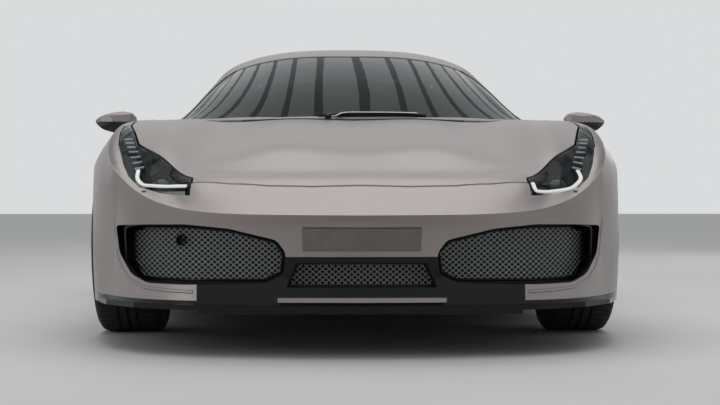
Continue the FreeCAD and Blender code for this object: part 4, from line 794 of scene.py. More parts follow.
SPOKE_PAIRS = 7
SPOKE_STEPS = 12
SPOKE_FOOT = 0.050
SPOKE_TIP = 0.2405
BOLTS = 5
DISC_VANES = 36
DISC_HOLES = 72
CALIPER_STEPS = 16
for end, wheel in WHEELS.items():
    for name, side in SIDES:
        which = end + "_" + name
        body = "wheel_" + which
        tyre_piece(wheel, which, side)
        axis = Vector((side, 0, 0))
        centre = Vector((side * wheel["x"], wheel["y"], wheel["r"]))
        half, face = wheel["half"] - 0.014, wheel["face"]
        barrel = [(0.2610, half - 0.0010), (0.2618, half - 0.0050), (0.2500, half - 0.0085), (0.2496, 0.0),
                  (0.2500, -half + 0.0085), (0.2618, -half + 0.0050), (0.2610, -half + 0.0010),
                  (0.2560, -half), (0.2440, -half + 0.0100), (0.2385, -half + 0.0300), (0.2360, -0.030),
                  (0.2370, 0.010), (0.2390, face - 0.030), (0.2430, face), (0.2450, half - 0.0220),
                  (0.2500, half - 0.0080), (0.2560, half)]
        hub = [(0.0310, -0.0240), (0.0690, -0.0240), (0.0700, face - 0.0300), (0.0680, face - 0.0200),
               (0.0600, face - 0.0130), (0.0420, face - 0.0110), (0.0400, face - 0.0050),
               (0.0370, face - 0.0030), (0.0340, face - 0.0050), (0.0330, face - 0.0090),
               (0.0001, face - 0.0080), (0.0001, 0.0430), (0.0310, 0.0430)]
        parts = [turned(barrel, centre, axis, 96), turned(hub, centre, axis, 64)]
        for k in range(SPOKE_PAIRS):
            for lean in (-1, 1):
                base = 2 * math.pi * k / SPOKE_PAIRS + math.pi / 2
                line, widths, depths = [], [], []
                for i in range(SPOKE_STEPS + 1):
                    share = i / SPOKE_STEPS
                    r = SPOKE_FOOT + (SPOKE_TIP - SPOKE_FOOT) * share
                    angle = base + lean * (0.10 + 0.125 * share ** 1.6)
                    rise = min(1, share / 0.4)
                    ease = rise ** 2 * (3 - 2 * rise)
                    dish = wheel["dish"] * share ** 2 - wheel["sag"] * math.sin(math.pi * share)
                    place = face - 0.0235 + dish + wheel["lift"] * ease
                    line.append(centre + axis * place + toward_rim(angle) * r)
                    widths.append(0.0165 + 0.0075 * abs(2 * share - 1) ** 3)
                    depths.append(0.0230 - wheel["taper"] * share - wheel["slim"] * ease
                                  + 0.010 * max(0, share - 0.8))
                parts.append(tapered(line, axis, widths, depths))
        obj = piece("forged_wheel_" + which, joined(parts), ALLOY, body, 38)
        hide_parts("rim_" + which)

        front = centre + axis * face
        head = [(0.0001, -0.0020), (0.0070, -0.0020), (0.0082, -0.0034), (0.0082, -0.0110), (0.0110, -0.0122),
                (0.0110, -0.0135), (0.0001, -0.0135)]
        bolts = [turned(head, front + toward_rim(2 * math.pi * k / BOLTS + math.pi / 2) * 0.0515, axis, 6)
                 for k in range(BOLTS)]
        piece("wheel_bolts_" + which, joined(bolts), STEEL, body, 20)
        cap = [(0.0001, -0.0052), (0.0220, -0.0054), (0.0290, -0.0064), (0.0325, -0.0086), (0.0325, -0.0100),
               (0.0001, -0.0100)]
        piece("centre_cap_" + which, turned(cap, front, axis, 48), GLOSS, body)
        valve = [(0.0001, 0.012), (0.0038, 0.012), (0.0042, 0.010), (0.0042, -0.004), (0.0060, -0.010),
                 (0.0060, -0.016), (0.0001, -0.016)]
        stem = front + toward_rim(1.2) * 0.232
        piece("valve_stem_" + which, turned(valve, stem, axis, 16), SEAL, body)

        plates = []
        for low, high in ((-0.0150, -0.0075), (0.0075, 0.0150)):
            ring = [(0.0950, low), (0.1915, low), (0.1920, low + 0.0010), (0.1920, high - 0.0010),
                    (0.1915, high), (0.0950, high)]
            plates.append(turned(ring, centre, axis, 96))
        for k in range(DISC_VANES):
            angle = 2 * math.pi * k / DISC_VANES
            line = [centre + toward_rim(angle + s) * r for s, r in ((0, 0.100), (0.06, 0.145), (0.14, 0.189))]
            plates.append(tapered(line, axis, [0.004] * 3, [0.016] * 3))
        piece("vented_disc_" + which, joined(plates), IRON, body)
        bell = [(0.0690, -0.020), (0.0980, -0.013), (0.1000, 0.000), (0.0980, 0.013), (0.0705, 0.022),
                (0.0690, 0.020)]
        piece("disc_bell_" + which, turned(bell, centre, axis, 64), GRAINED, body)
        # The drill holes are not cut: a thin black disc on the face at each hole is painted shade, the dark
        # inside of a hole
        dark = [(0.0001, 0.01525), (0.0030, 0.01525), (0.0034, 0.0148), (0.0001, 0.0148)]
        hole_shades = []
        for k in range(DISC_HOLES):
            r = 0.116 + 0.0115 * (k % 6)
            hole_shades.append(turned(dark, centre + toward_rim(2 * math.pi * k / DISC_HOLES) * r, axis, 10))
        piece("disc_drill_hole_shade_" + which, joined(hole_shades), BLACK_AND_SHADE, body)

        carrier = "knuckle_" + name if end == "front" else "body"
        toward = 1 if end == "front" else -1
        section = [(0.1250, -0.0372), (0.2200, -0.0372), (0.2306, -0.0290), (0.2306, 0.0290),
                   (0.2200, 0.0372), (0.1250, 0.0372), (0.1250, 0.0362), (0.2196, 0.0362), (0.2300, 0.0286),
                   (0.2300, -0.0286), (0.2196, -0.0362), (0.1250, -0.0362)]
        verts = []
        for i in range(CALIPER_STEPS + 1):
            angle = math.radians(-29 + 58 * i / CALIPER_STEPS)
            pinch = 0.0 if 0 < i < CALIPER_STEPS else 0.004
            out = Vector((0, toward * math.cos(angle), math.sin(angle)))
            verts += [centre + axis * a + out * (r - (pinch if r > 0.2 else 0.0)) for r, a in section]
        faces = skinned(CALIPER_STEPS + 1, len(section))
        piece("caliper_shell_" + which, (verts, faces), CALIPER, carrier, 30)
        boss = [(0.0001, 0.0400), (0.0150, 0.0400), (0.0170, 0.0388), (0.0185, 0.0370), (0.0001, 0.0370)]
        pistons = []
        for k in (-1, 0, 1):
            angle = math.radians(18 * k)
            spot = centre + Vector((0, toward * math.cos(angle), math.sin(angle))) * 0.176
            pistons.append(turned(boss, spot, axis, 28))
        piece("caliper_bosses_" + which, joined(pistons), CALIPER, carrier, 30)


# Seats: padded cushions with sewn flutes on a hard shell

SEAT_X = 0.36
PAD_ROWS = 11
PAD_COLUMNS = 16
FOAM_VOXEL = 0.0065
CLOTH_FRAMES = 20


def loaf(points_low, points_high, half_low, half_high, thick, crown):
    """A shape: a crowned pad between two ends in Y and Z, with a flat back."""
    low, high = Vector((0, *points_low)), Vector((0, *points_high))
    along = (high - low).normalized()
    out = Vector((0, -along.z, along.y))
    verts = []
    for i in range(PAD_ROWS):
        share = i / (PAD_ROWS - 1)
        centre = low.lerp(high, share)
        half = half_low + (half_high - half_low) * share
        ends = min(1.0, 4.5 * min(share, 1 - share) + 0.45)
        for j in range(PAD_COLUMNS):
            angle = 2 * math.pi * j / PAD_COLUMNS
            x = math.copysign(abs(math.cos(angle)) ** 0.45, math.cos(angle)) * half
            up = math.copysign(abs(math.sin(angle)) ** 0.6, math.sin(angle))
            rise = (thick + crown * (1 - (x / half) ** 2)) * ends * up if up > 0 else thick * 0.35 * up
            verts.append(centre + Vector((x, 0, 0)) + out * (rise - thick))
    return verts, skinned(PAD_ROWS, PAD_COLUMNS)


def moved(part, x):
    return [v + Vector((x, 0, 0)) for v in part[0]], part[1]


SQUAB_ENDS = ((-0.150, 0.338), (0.215, 0.287))
BACK_ENDS = ((0.302, 0.345), (0.448, 0.770))
SQUAB = [loaf(*SQUAB_ENDS, 0.140, 0.150, 0.070, 0.010)]
BACKREST = [loaf(*BACK_ENDS, 0.148, 0.140, 0.062, 0.010)]
for s in (1, -1):
    SQUAB.append(moved(loaf((-0.125, 0.385), (0.225, 0.360), 0.026, 0.030, 0.080, 0.008), s * 0.196))
    BACKREST.append(moved(loaf((0.258, 0.400), (0.392, 0.715), 0.027, 0.024, 0.085, 0.006), s * 0.194))
BACKREST.append(loaf((0.462, 0.790), (0.496, 0.930), 0.130, 0.095, 0.060, 0.008))


def swollen(name, parts, cap):
    """Cloth over foam: the closed form is inflated a little, then held within the cap."""
    verts, faces = joined(parts)
    mesh = bpy.data.meshes.new(name)
    mesh.from_pydata([tuple(v) for v in verts], [], faces)
    obj = linked(name, mesh)
    fine = obj.modifiers.new("even_mesh", "REMESH")
    fine.mode = "VOXEL"
    fine.voxel_size = FOAM_VOXEL
    bake(obj)
    rest = [v.co.copy() for v in obj.data.vertices]
    cloth = obj.modifiers.new("cover", "CLOTH")
    cloth.settings.use_pressure = True
    cloth.settings.uniform_pressure_force = 4.0
    cloth.settings.effector_weights.gravity = 0.0
    cloth.point_cache.frame_start = 1
    cloth.point_cache.frame_end = CLOTH_FRAMES
    for k in range(1, CLOTH_FRAMES + 1):
        scene.frame_set(k)
    bake(obj)
    scene.frame_set(1)
    for v, before in zip(obj.data.vertices, rest):
        step = v.co - before
        if step.length > cap:
            v.co = before + step * (cap / step.length)
    return obj.data


def bake(obj):
    """The object's mesh as its modifiers leave it, with the modifiers gone."""
    graph = bpy.context.evaluated_depsgraph_get()
    done = bpy.data.meshes.new_from_object(obj.evaluated_get(graph))
    obj.modifiers.clear()
    obj.data = done


def fluted(mesh, low, high, pitch, depth, half):
    """Presses sewn channels across the middle pad, one every pitch along its length."""
    low, high = Vector((0, *low)), Vector((0, *high))
    along = (high - low).normalized()
    out = Vector((0, -along.z, along.y))
    length = (high - low).length
    for v in mesh.vertices:
        rel = v.co - low
        s = rel.dot(along)
        if abs(v.co.x) > half or not 0.02 < s < length - 0.02 or rel.dot(out) < -0.02:
            continue
        near = abs((s / pitch) % 1.0 - 0.5) * pitch
        edge = min(1.0, (half - abs(v.co.x)) / 0.02)
        v.co -= out * depth * math.exp(-(near / 0.006) ** 2) * edge


squab_mesh = swollen("seat_squab_cover", SQUAB, 0.007)
fluted(squab_mesh, *SQUAB_ENDS, 0.052, 0.0055, 0.128)
back_mesh = swollen("seat_back_cover", BACKREST, 0.007)
fluted(back_mesh, *BACK_ENDS, 0.052, 0.0055, 0.122)
for stray in ("seat_squab_cover", "seat_back_cover"):
    bpy.data.objects.remove(scene.collection.objects[stray])
SHELL_SIDE = [(-0.165, 0.150), (-0.178, 0.290), (-0.140, 0.318), (0.190, 0.272), (0.262, 0.330),
              (0.262, 0.395), (0.395, 0.725), (0.452, 0.800), (0.500, 0.948), (0.530, 0.955),
              (0.556, 0.926), (0.556, 0.700), (0.436, 0.300), (0.328, 0.150)]
SHELL_SPINE = [(-0.150, 0.262), (0.180, 0.222), (0.330, 0.290), (0.440, 0.520), (0.530, 0.780),
               (0.545, 0.930)]
BELT = [(0.30, 0.30), (0.20, 0.36), (0.16, 0.39)]
for name, side in SIDES:
    shift = Matrix.Translation((side * SEAT_X, 0, 0))
    for part, source in (("squab", squab_mesh), ("back", back_mesh)):
        mesh = source.copy()
        mesh.transform(shift)
        obj = linked("seat_" + part + "_pad_" + name, mesh)
        obj.modifiers.new("smooth_cover", "SUBSURF").render_levels = 1
        obj.modifiers["smooth_cover"].levels = 1
        bake(obj)
        settle(obj, CLOTH, crease=60)
        if name == "left" and part == "squab":
            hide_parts("seats")
    shell = []
    for inner, outer in ((0.224, 0.231), (-0.231, -0.224)):
        verts = [Vector((side * SEAT_X + x, y, z)) for x in (inner, outer) for y, z in SHELL_SIDE]
        shell.append((verts, skinned(2, len(SHELL_SIDE))))
    spine = curved([Vector((side * SEAT_X, y, z)) for y, z in SHELL_SPINE], 6)
    shell.append(strip(spine, [Vector((0, -1, 0.6))] * len(spine), 0.452, 0.012))
    piece("seat_shell_" + name, joined(shell), CARBON, crease=30)
    runners = []
    for x in (-0.17, 0.17):
        rail = [Vector((side * SEAT_X + x, y, 0.146)) for y in (-0.150, 0.320)]
        runners.append(strip(rail, [UP, UP], 0.034, 0.022))
    piece("seat_runners_" + name, joined(runners), STEEL)
    belt = curved([Vector((side * (SEAT_X - 0.245), y, z)) for y, z in BELT], 4)
    buckle = strip(belt, [Vector((side, 0, 0))] * len(belt), 0.03, 0.012)
    piece("belt_buckle_" + name, buckle, BEZEL)

# Facia: hood, screens, vents and console

HOOD_STEPS = 16
hood = []
for i in range(HOOD_STEPS + 1):
    angle = math.pi * i / HOOD_STEPS
    hood.append(Vector((SEAT_X + 0.165 * math.cos(angle), -0.500, 0.795 + 0.072 * math.sin(angle))))
hood = strip(hood, [Vector((0, 1, 0))] * len(hood), 0.012, 0.150)
piece("instrument_hood", hood, SUEDE, crease=50)
SCREEN_Y = -0.520
SCREEN_EDGE = ((-0.140, 0.788), (0.140, 0.788), (0.140, 0.820), (0.105, 0.845), (-0.105, 0.845),
               (-0.140, 0.820))
screen_verts = [Vector((SEAT_X + x, SCREEN_Y + 0.2 * (z - 0.80), z)) for x, z in SCREEN_EDGE]
screen_verts += [v + Vector((0, -0.008, 0)) for v in screen_verts]
piece("instrument_screen", (screen_verts, skinned(2, len(SCREEN_EDGE))), BLACK_AND_SHADE)
dials = []
for x, r in ((-0.075, 0.024), (0.0, 0.026), (0.075, 0.024)):
    ring = [(r, 0.0), (r + 0.0022, 0.0012), (r + 0.0044, 0.0), (r + 0.0022, -0.001)]
    dials.append(turned(ring, (SEAT_X + x, SCREEN_Y + 0.005, 0.815), (0, 1, 0.2), 32))
piece("dial_rings", joined(dials), STEEL)


def panel(points, normal, thickness):
    """A shape: a flat plate from its outline, with a bevelled rim."""
    normal = Vector(normal).normalized()
    centre = sum(points, Vector()) / len(points)
    verts = [p.copy() for p in points] + [p + normal * thickness * 0.6 for p in points]
    verts += [centre + (p - centre) * 0.97 + normal * thickness for p in points]
    return verts, skinned(3, len(points))


tilt = Vector((0, 0.75, 0.66)).normalized()
rise = Vector((0, -0.66, 0.75)).normalized()


def on_console(x, up, lift=0.0):
    return Vector((x, -0.405, 0.640)) + rise * up + tilt * lift


middle = [on_console(x, z) for x, z in ((-0.072, -0.055), (0.072, -0.055), (0.078, 0.105), (-0.078, 0.105))]
piece("console_screen", panel(middle, tilt, 0.008), BLACK_AND_SHADE)
edge = [on_console(x, z, 0.004) for x, z in ((-0.077, -0.060), (0.077, -0.060), (0.083, 0.110),
                                             (-0.083, 0.110))]
tube("console_screen_frame", [edge], 0.004, STEEL, closed=True)
vents, vent_slats = [], []
for x, z in ((-0.60, 0.735), (-0.14, 0.735), (0.14, 0.735), (0.60, 0.735)):
    centre = Vector((x, -0.424, z))
    ring = [(0.036, -0.010), (0.036, 0.003), (0.040, 0.007), (0.045, 0.003), (0.045, -0.010)]
    vents.append(turned(ring, centre, (0, 1, 0.1), 36))
    for k in range(-2, 3):
        reach = math.sqrt(0.035 ** 2 - (0.012 * k) ** 2)
        ends = [centre + Vector((s * reach, -0.004, 0.012 * k)) for s in (-1, 1)]
        vent_slats.append(strip(ends, [Vector((0, 0.5, 1))] * 2, 0.012, 0.0024))
piece("vent_rings", joined(vents), STEEL)
piece("vent_slats", joined(vent_slats), GRAINED)
trim = [Vector((x, -0.432 - 0.02 * abs(x), 0.690)) for x in [-0.66 + 0.11 * k for k in range(13)]]
piece("facia_trim", strip(trim, [Vector((0, 1, 0.2))] * len(trim), 0.030, 0.010), CARBON)
console = [Vector((x, y, 0.3405)) for x, y in ((-0.082, -0.405), (0.082, -0.405), (0.092, 0.10),
                                               (0.070, 0.240), (-0.070, 0.240), (-0.092, 0.10))]
piece("console_plate", panel(console, UP, 0.012), CARBON)
knobs = []
for x, y, r, h in ((0, -0.26, 0.026, 0.020), (-0.036, -0.34, 0.012, 0.010), (0.036, -0.34, 0.012, 0.010),
                   (0, -0.18, 0.014, 0.008)):
    knob = [(0.0001, h), (r * 0.86, h), (r, h - 0.003), (r * 1.02, 0.0), (0.0001, 0.0)]
    knobs.append(turned(knob, (x, y, 0.3525), (0, 0, 1), 32))
piece("console_knobs", joined(knobs), STEEL)
piece("console_armrest", loaf((0.000, 0.385), (0.215, 0.385), 0.050, 0.046, 0.034, 0.004), LEATHER,
      crease=60)

# Steering wheel: horn pad, spoke trims, a cloth band at the top and paddles, all turning with it

HUB = Vector((SEAT_X, -0.300, 0.716))
COLUMN_RAKE = math.radians(22)
COLUMN = Vector((0, math.cos(COLUMN_RAKE), math.sin(COLUMN_RAKE)))
ACROSS = Vector((1, 0, 0))
RISE = ACROSS.cross(COLUMN)


def on_wheel(u, v, w):
    return HUB + ACROSS * u + RISE * v + COLUMN * w


boss = [on_wheel(u, v, 0.020) for u, v in ((-0.062, 0.030), (-0.040, 0.050), (0.040, 0.050), (0.062, 0.030),
                                           (0.052, -0.040), (0.022, -0.062), (-0.022, -0.062),
                                           (-0.052, -0.040))]
piece("horn_pad", panel(boss, COLUMN, 0.018), LEATHER, "steering_wheel")
bars = []
SPOKE_TRIMS = (((0.050, 0.0), (0.160, 0.006)), ((-0.050, 0.0), (-0.160, 0.006)),
               ((0.0, -0.055), (0.0, -0.160)))
for a, b in SPOKE_TRIMS:
    bars.append(strip([on_wheel(*a, 0.011), on_wheel(*b, 0.011)], [COLUMN] * 2, 0.022, 0.005))
piece("wheel_spoke_trims", joined(bars), STEEL, "steering_wheel")
mark = [on_wheel(0.172 * math.sin(t), 0.172 * math.cos(t), 0.0) for t in (-0.05, -0.025, 0, 0.025, 0.05)]
tube("wheel_top_band", [mark], 0.0156, CLOTH, "steering_wheel", sides=6)
paddles = []
for s in (-1, 1):
    fan = [on_wheel(s * u, v, -0.030) for u, v in ((0.060, -0.020), (0.120, -0.030), (0.128, 0.052),
                                                   (0.070, 0.034))]
    paddles.append(panel(fan if s > 0 else fan[::-1], COLUMN, 0.004))
piece("shift_paddles", joined(paddles), CARBON, "steering_wheel")

# Floor mats, pedals, bulkhead trim and door cards

for name, side in SIDES:
    mat_line = [Vector((side * x, y, 0.1345)) for x, y in ((0.125, -0.660), (0.610, -0.660), (0.615, -0.210),
                                                           (0.125, -0.210))]
    piece("floor_mat_" + name, panel(mat_line, UP, 0.007), CLOTH)
pedals = []
for x, w, z in ((0.285, 0.050, 0.235), (0.385, 0.065, 0.230), (0.475, 0.040, 0.220)):
    corners = ((-w / 2, -0.045), (w / 2, -0.045), (w / 2, 0.045), (-w / 2, 0.045))
    pad = [Vector((x + u, -0.560 + 0.35 * v, z + v)) for u, v in corners]
    pedals.append(panel(pad, (0, 0.94, -0.33), 0.006))
    lever = [Vector((x, -0.568, z)), Vector((x, -0.640, z + 0.130))]
    pedals.append(strip(lever, [Vector((0, 1, 0.4))] * 2, 0.016, 0.010))
piece("pedals", joined(pedals), STEEL)
trim = [Vector((x, 0.6395, z)) for x, z in ((-0.600, 0.145), (0.600, 0.145), (0.600, 0.760), (-0.600, 0.760))]
piece("bulkhead_carpet", panel(trim, (0, -1, 0), 0.008), CLOTH)
for name, side in SIDES:
    door = "door_" + name
    card = [(-0.560, 0.330), (0.500, 0.330), (0.500, 0.640), (0.430, 0.700), (-0.520, 0.700), (-0.560, 0.640)]
    bm = draped(card, 0, -side, door, 0.001, 0.005, 0.05)
    from_bmesh("door_card_" + name, bm, SUEDE, door, 50)
    inward = Vector((-side, 0, 0))
    pull = [cast(door, (0, -0.25 + 0.05 * k, 0.600 + 0.006 * k), -inward)[0]
            + inward * (0.006 + 0.020 * math.sin(math.pi * k / 6)) for k in range(7)]
    piece("door_pull_" + name, strip(pull, [inward] * 7, 0.026, 0.012), CARBON, door, 50)
    speaker = cast(door, (0, -0.400, 0.420), -inward)[0] + inward * 0.006
    ring = [(0.0001, 0.0), (0.066, 0.0), (0.072, 0.003), (0.074, 0.0), (0.074, -0.004), (0.0001, -0.004)]
    piece("speaker_grille_" + name, turned(ring, speaker, inward, 48), GRAINED, door, 50)


# Engine bay under the glass: plenum, runners, covers and a brace

def rounded_box(low, high, bevel):
    """A shape: a block with chamfered edges."""
    verts = []
    for z, inset in ((low[2], bevel), (low[2] + bevel, 0.0), (high[2] - bevel, 0.0), (high[2], bevel)):
        for sx, sy in ((-1, -1), (1, -1), (1, 1), (-1, 1)):
            cx = (high[0] if sx > 0 else low[0]) - sx * inset
            cy = (high[1] if sy > 0 else low[1]) - sy * inset
            cuts = [(-sx * bevel, 0), (0, -sy * bevel)]
            if sx * sy > 0:
                cuts.reverse()
            verts += [Vector((cx + a, cy + b, z)) for a, b in cuts]
    return verts, skinned(4, 8)


plenum = [rounded_box((-0.130, 0.830, 0.775), (0.130, 1.235, 0.850), 0.022)]
for k in range(7):
    rib = [Vector((x, 0.870 + 0.054 * k, 0.852)) for x in (-0.105, 0.105)]
    plenum.append(strip(rib, [UP, UP], 0.012, 0.008))
piece("intake_plenum", joined(plenum), CALIPER, crease=30)
RUNNER = ((0.120, 0.805), (0.170, 0.812), (0.212, 0.785), (0.222, 0.735), (0.222, 0.690))
runners = [curved([Vector((side * x, 0.875 + 0.105 * k, z)) for x, z in RUNNER], 5)
           for side in (-1, 1) for k in range(4)]
tube("intake_runners", runners, 0.024, BARE_ALLOY, sides=6)
for name, side in SIDES:
    inner, outer = sorted((side * 0.190, side * 0.292))
    cover = [rounded_box((inner, 0.790, 0.621), (outer, 1.280, 0.690), 0.014)]
    for k in range(3):
        rib = [Vector((side * (0.216 + 0.025 * k), y, 0.692)) for y in (0.815, 1.255)]
        cover.append(strip(rib, [UP, UP], 0.008, 0.008))
    piece("cam_cover_" + name, joined(cover), BARE_ALLOY, crease=30)
    tank = [(0.0001, 0.10), (0.040, 0.098), (0.052, 0.088), (0.056, 0.070), (0.056, -0.070), (0.050, -0.080),
            (0.0001, -0.082)]
    piece("bay_canister_" + name, turned(tank, (side * 0.360, 0.900, 0.760), (0, 0, 1), 40), GRAINED)
brace = [[Vector((-0.440, 0.720, 0.850)), Vector((0.0, 1.290, 0.862)), Vector((0.440, 0.720, 0.850))],
         [Vector((-0.420, 1.560, 0.800)), Vector((0.0, 1.290, 0.862)), Vector((0.420, 1.560, 0.800))]]
tube("bay_brace", brace, 0.013, TUB, sides=6)
oil_cap = [(0.0001, 0.016), (0.020, 0.015), (0.026, 0.010), (0.027, -0.006), (0.0001, -0.006)]
piece("filler_cap", turned(oil_cap, (0.240, 1.180, 0.702), (0, 0, 1), 24), GRAINED)
bay_floor = [Vector((x, y, 0.700)) for x, y in ((-0.460, 1.330), (0.460, 1.330), (0.480, 1.900),
                                                (-0.480, 1.900))]
piece("gearbox_shroud", panel(bay_floor, UP, 0.010), GRAINED)
louvres = []
for k in range(8):
    line = [from_above("engine_cover", -0.280 + 0.07 * j, 1.540 + 0.040 * k) for j in range(9)]
    tilted = [(n + Vector((0, 0.5, 0))).normalized() for p, n in line]
    louvres.append(strip([p + n * 0.001 for p, n in line], tilted, 0.020, 0.004))
piece("cover_louvres", joined(louvres), GLOSS, "engine_cover")

# Tail: lamp rings, exhaust lips, reflectors, plate lamps and a high brake strip

for name, side in SIDES:
    centre = Vector((side * 0.600, 2.254, 0.742))
    out = (0, 1, 0)
    glow_ring = [(0.0500, 0.0002), (0.0510, 0.0030), (0.0600, 0.0030), (0.0610, 0.0002)]
    piece("tail_ring_" + name, turned(glow_ring, centre, out, 64), RED_GLOW)
    inner = [(0.0001, 0.0070), (0.0180, 0.0062), (0.0260, 0.0036), (0.0280, 0.0002), (0.0001, 0.0002)]
    piece("tail_core_" + name, turned(inner, centre, out, 48), RUBY)
    bezel = [(0.0640, -0.0060), (0.0640, 0.0020), (0.0700, 0.0060), (0.0735, 0.0040), (0.0742, -0.0060)]
    piece("tail_bezel_" + name, turned(bezel, centre, out, 64), GLOSS)
    tip = Vector((side * 0.330, 2.280, 0.440))
    lip = [(0.0478, -0.030), (0.0478, 0.010), (0.0500, 0.0150), (0.0550, 0.0170), (0.0600, 0.0150),
           (0.0612, 0.0080), (0.0590, 0.0), (0.0540, -0.030)]
    piece("exhaust_lip_" + name, turned(lip, tip, out, 64), STEEL)
    # A black plug 150 mm inside each pipe: soot, and painted shade for the dark depth of the pipe
    soot_and_shade = [(0.0001, -0.150), (0.0470, -0.150), (0.0472, -0.149), (0.0001, -0.149)]
    piece("exhaust_core_" + name, turned(soot_and_shade, tip, out, 48), BLACK_AND_SHADE)
    flare = [from_end("rear_bumper", side * (0.640 + 0.018 * k), 0.430 + 0.002 * k, -1) for k in range(9)]
    piece("rear_reflector_" + name, ribbon(flare, 0.020, 0.005, 0.001), RUBY)
    lamp = [(0.0001, 0.002), (0.016, 0.002), (0.018, 0.0), (0.0001, 0.0)]
    spot, normal = from_end("rear_bumper", side * 0.110, 0.560, -1)
    piece("plate_lamp_" + name, turned(lamp, spot, normal, 24), CLEAR)
stop = [from_end("rear_spoiler", -0.22 + 0.04 * k, 0.932, -1)[0] + Vector((0, -0.0026, 0)) for k in range(12)]
piece("high_brake_strip", strip(stop, [Vector((0, 1, 0))] * 12, 0.010, 0.005), RED_GLOW)

# Side intakes: a gloss surround and horizontal blades over each duct

INTAKE_OUTER = [(0.652, 0.505), (0.660, 0.650), (0.694, 0.770), (0.800, 0.808), (0.884, 0.736),
                (0.896, 0.600), (0.876, 0.482), (0.800, 0.424), (0.700, 0.432)]
INTAKE_INNER = [(0.712, 0.524), (0.718, 0.640), (0.736, 0.730), (0.799, 0.741), (0.839, 0.697),
                (0.845, 0.600), (0.828, 0.509), (0.788, 0.478), (0.735, 0.481)]
INTAKE_MIDDLE = Vector((0, 0.775, 0.610))
for name, side in SIDES:
    rows = []
    for line, lift in ((INTAKE_OUTER, 0.0012), (INTAKE_OUTER, 0.0052), (INTAKE_INNER, 0.0052),
                       (INTAKE_INNER, -0.030)):
        row = []
        for p in curved([Vector((0, y, z)) for y, z in line], 6, True):
            # A point over the opening takes its place from the skin a little further out
            for outward in (0.0, 0.02, 0.04, 0.06):
                spot = p + (p - INTAKE_MIDDLE).normalized() * outward
                hit = from_side("quarter_" + name, side, spot.y, spot.z)[0]
                if abs(hit.y - spot.y) < 0.004 and abs(hit.z - spot.z) < 0.004 and abs(hit.x) > 0.84:
                    break
            row.append(Vector((hit.x + side * lift, p.y, p.z)))
        rows.append(row)
    surround = [p for row in rows for p in row]
    faces = quads(len(rows), len(rows[0]), True, True)
    piece("side_intake_surround_" + name, (surround, faces), GLOSS, crease=40)
    blades = []
    for z in (0.530, 0.580, 0.690):
        line = [(0.712 + 0.0185 * k, z) for k in range(8)]
        line = [Vector((from_side("side_ducts", side, y, z)[0].x + side * 0.055, y, z)) for y, z in line]
        blades.append(strip(line, [UP] * 8, 0.050, 0.006))
    piece("side_intake_blades_" + name, joined(blades), GRAINED)

# Doors and filler flap: flush handles on thin black strips that paint the shade of their recesses, and a
# round flap's joint

for name, side in SIDES:
    door = "door_" + name
    line = [from_side(door, side, 0.330 + 0.018 * k, 0.745 + 0.0015 * k) for k in range(10)]
    # A flat black strip under each handle is painted shade where a recess would be
    piece("handle_recess_shade_" + name, ribbon(line, 0.034, 0.002, 0.0006), BLACK_AND_SHADE, door)
    piece("door_handle_" + name, ribbon(line[1:], 0.022, 0.007, 0.004), PAINT, door)
FLAP_RADIUS = 0.072
FLAP_STEPS = 40
flap = []
for k in range(FLAP_STEPS):
    around = toward_rim(2 * math.pi * k / FLAP_STEPS) * FLAP_RADIUS
    hit, normal = from_side("quarter_right", -1, 1.020 + around.y, 0.780 + around.z)
    flap.append(hit + normal * 0.0002)
tube("filler_flap_joint", [flap], 0.0018, SEAL, closed=True)

# Sill blades: a thin black edge from the front arch to the rear one, under wing, skirt and quarter

for name, side in SIDES:
    line = []
    for k in range(41):
        y = -0.690 + 0.0432 * k
        node = "wing_" + name if y < -0.600 else ("quarter_" + name if y > 0.640 else "sill_skirts")
        hit = from_side(node, side, y, 0.150)[0]
        line.append(Vector((side * (abs(hit.x) + 0.006), y, 0.121)))
    blade = strip(line, [Vector((side * 0.15, 0, 1))] * len(line), 0.060, 0.010)
    piece("sill_blade_" + name, blade, GLOSS)

# Floor, light and camera. The background is pale without lighting the car more

WALL_TOP = 0.16
CEILING_FOOT = 0.42


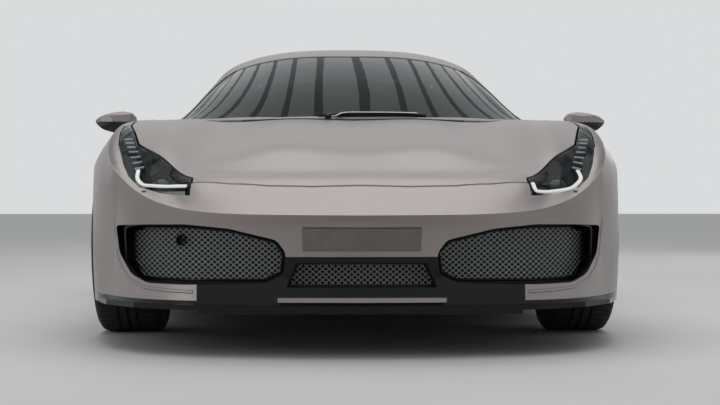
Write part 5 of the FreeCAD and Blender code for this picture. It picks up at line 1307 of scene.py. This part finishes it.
def backdrop(colour, ceiling, strength):
    """A pale wall under a greyer ceiling, shown to the camera, in gloss and through glass. Other rays see the
    plain light alone."""
    world = bpy.data.worlds.new("studio")
    scene.world = world
    world.use_nodes = True
    tree = world.node_tree
    tree.nodes.clear()
    light = add(tree, "ShaderNodeBackground", inputs={"Color": linear("#E6E8EA"), "Strength": strength})
    split = add(tree, "ShaderNodeSeparateXYZ",
                inputs={0: add(tree, "ShaderNodeTexCoord").outputs["Generated"]})
    height = add(tree, "ShaderNodeMapRange", {"interpolation_type": "SMOOTHSTEP"},
                 {0: split.outputs[2], 1: WALL_TOP, 2: CEILING_FOOT})
    shade = add(tree, "ShaderNodeMix", {"data_type": "RGBA"},
                {0: height.outputs[0], 6: linear(colour), 7: linear(ceiling)})
    shown = add(tree, "ShaderNodeBackground", inputs={"Color": shade.outputs[2], "Strength": 1.0})
    path = add(tree, "ShaderNodeLightPath")
    seen = add(tree, "ShaderNodeMath",
               inputs={0: path.outputs["Is Camera Ray"], 1: path.outputs["Is Glossy Ray"]})
    shows = add(tree, "ShaderNodeMath", {"use_clamp": True},
                {0: seen.outputs[0], 1: path.outputs["Is Transmission Ray"]})
    mix = add(tree, "ShaderNodeMixShader",
              inputs={0: shows.outputs[0], 1: light.outputs[0], 2: shown.outputs[0]})
    add(tree, "ShaderNodeOutputWorld", inputs={"Surface": mix.outputs[0]})


def softbox(name, place, aim, size, power):
    data = bpy.data.lights.new(name, "AREA")
    data.shape = "RECTANGLE"
    data.size, data.size_y = size
    data.energy = power
    obj = linked(name, data)
    obj.location = place
    obj.rotation_euler = (Vector(aim) - Vector(place)).to_track_quat("-Z", "Y").to_euler()


FLOOR_HALF = 60.0
floor_mesh = bpy.data.meshes.new("studio_floor")
corners = ((-1, -1), (1, -1), (1, 1), (-1, 1))
floor_mesh.from_pydata([(FLOOR_HALF * x, FLOOR_HALF * y, 0) for x, y in corners], [], [(0, 1, 2, 3)])
floor = linked("studio_floor", floor_mesh)
concrete, tree, shader, place = start("pale_sealed_concrete", "#D2D2D0", 0.7)
tones(tree, shader, noise(tree, place, 900, 5.0), "#D0D0CE", "#D4D4D2")
floor_mesh.materials.append(concrete)
backdrop("#D9DBDC", "#9FA1A3", 0.5)
softbox("overhead_softbox", (0, -1.0, 4.4), (0, -1.0, 0), (4.6, 5.0), 88)
for k in range(-6, 7):
    softbox("overhead_strip", (0.40 * k, 5.8, 4.4), (0.40 * k, 5.8, 0), (0.31, 8.0), 4.2)
softbox("front_softbox", (-5.5, -5.5, 3.0), (0, -1.0, 0.5), (1.6, 2.4), 35)
softbox("rear_softbox", (5.0, 6.5, 3.2), (0, 1.0, 0.5), (2.0, 2.0), 35)

even_light = bpy.data.lights.new("even_light", "SUN")
even_light.energy = 0.3
even_light.angle = math.radians(50)
linked("even_light", even_light).rotation_euler = (math.radians(25), 0, 0)

camera_data = bpy.data.cameras.new("photo_camera")
camera_data.sensor_width = 36.0
camera_data.lens = 78.0
camera = linked("photo_camera", camera_data)
camera.location = (-0.1314, -7.13, 0.49)
camera.rotation_euler = (math.radians(90), 0, math.radians(-1.469))
scene.camera = camera
scene.view_settings.view_transform = "Standard"
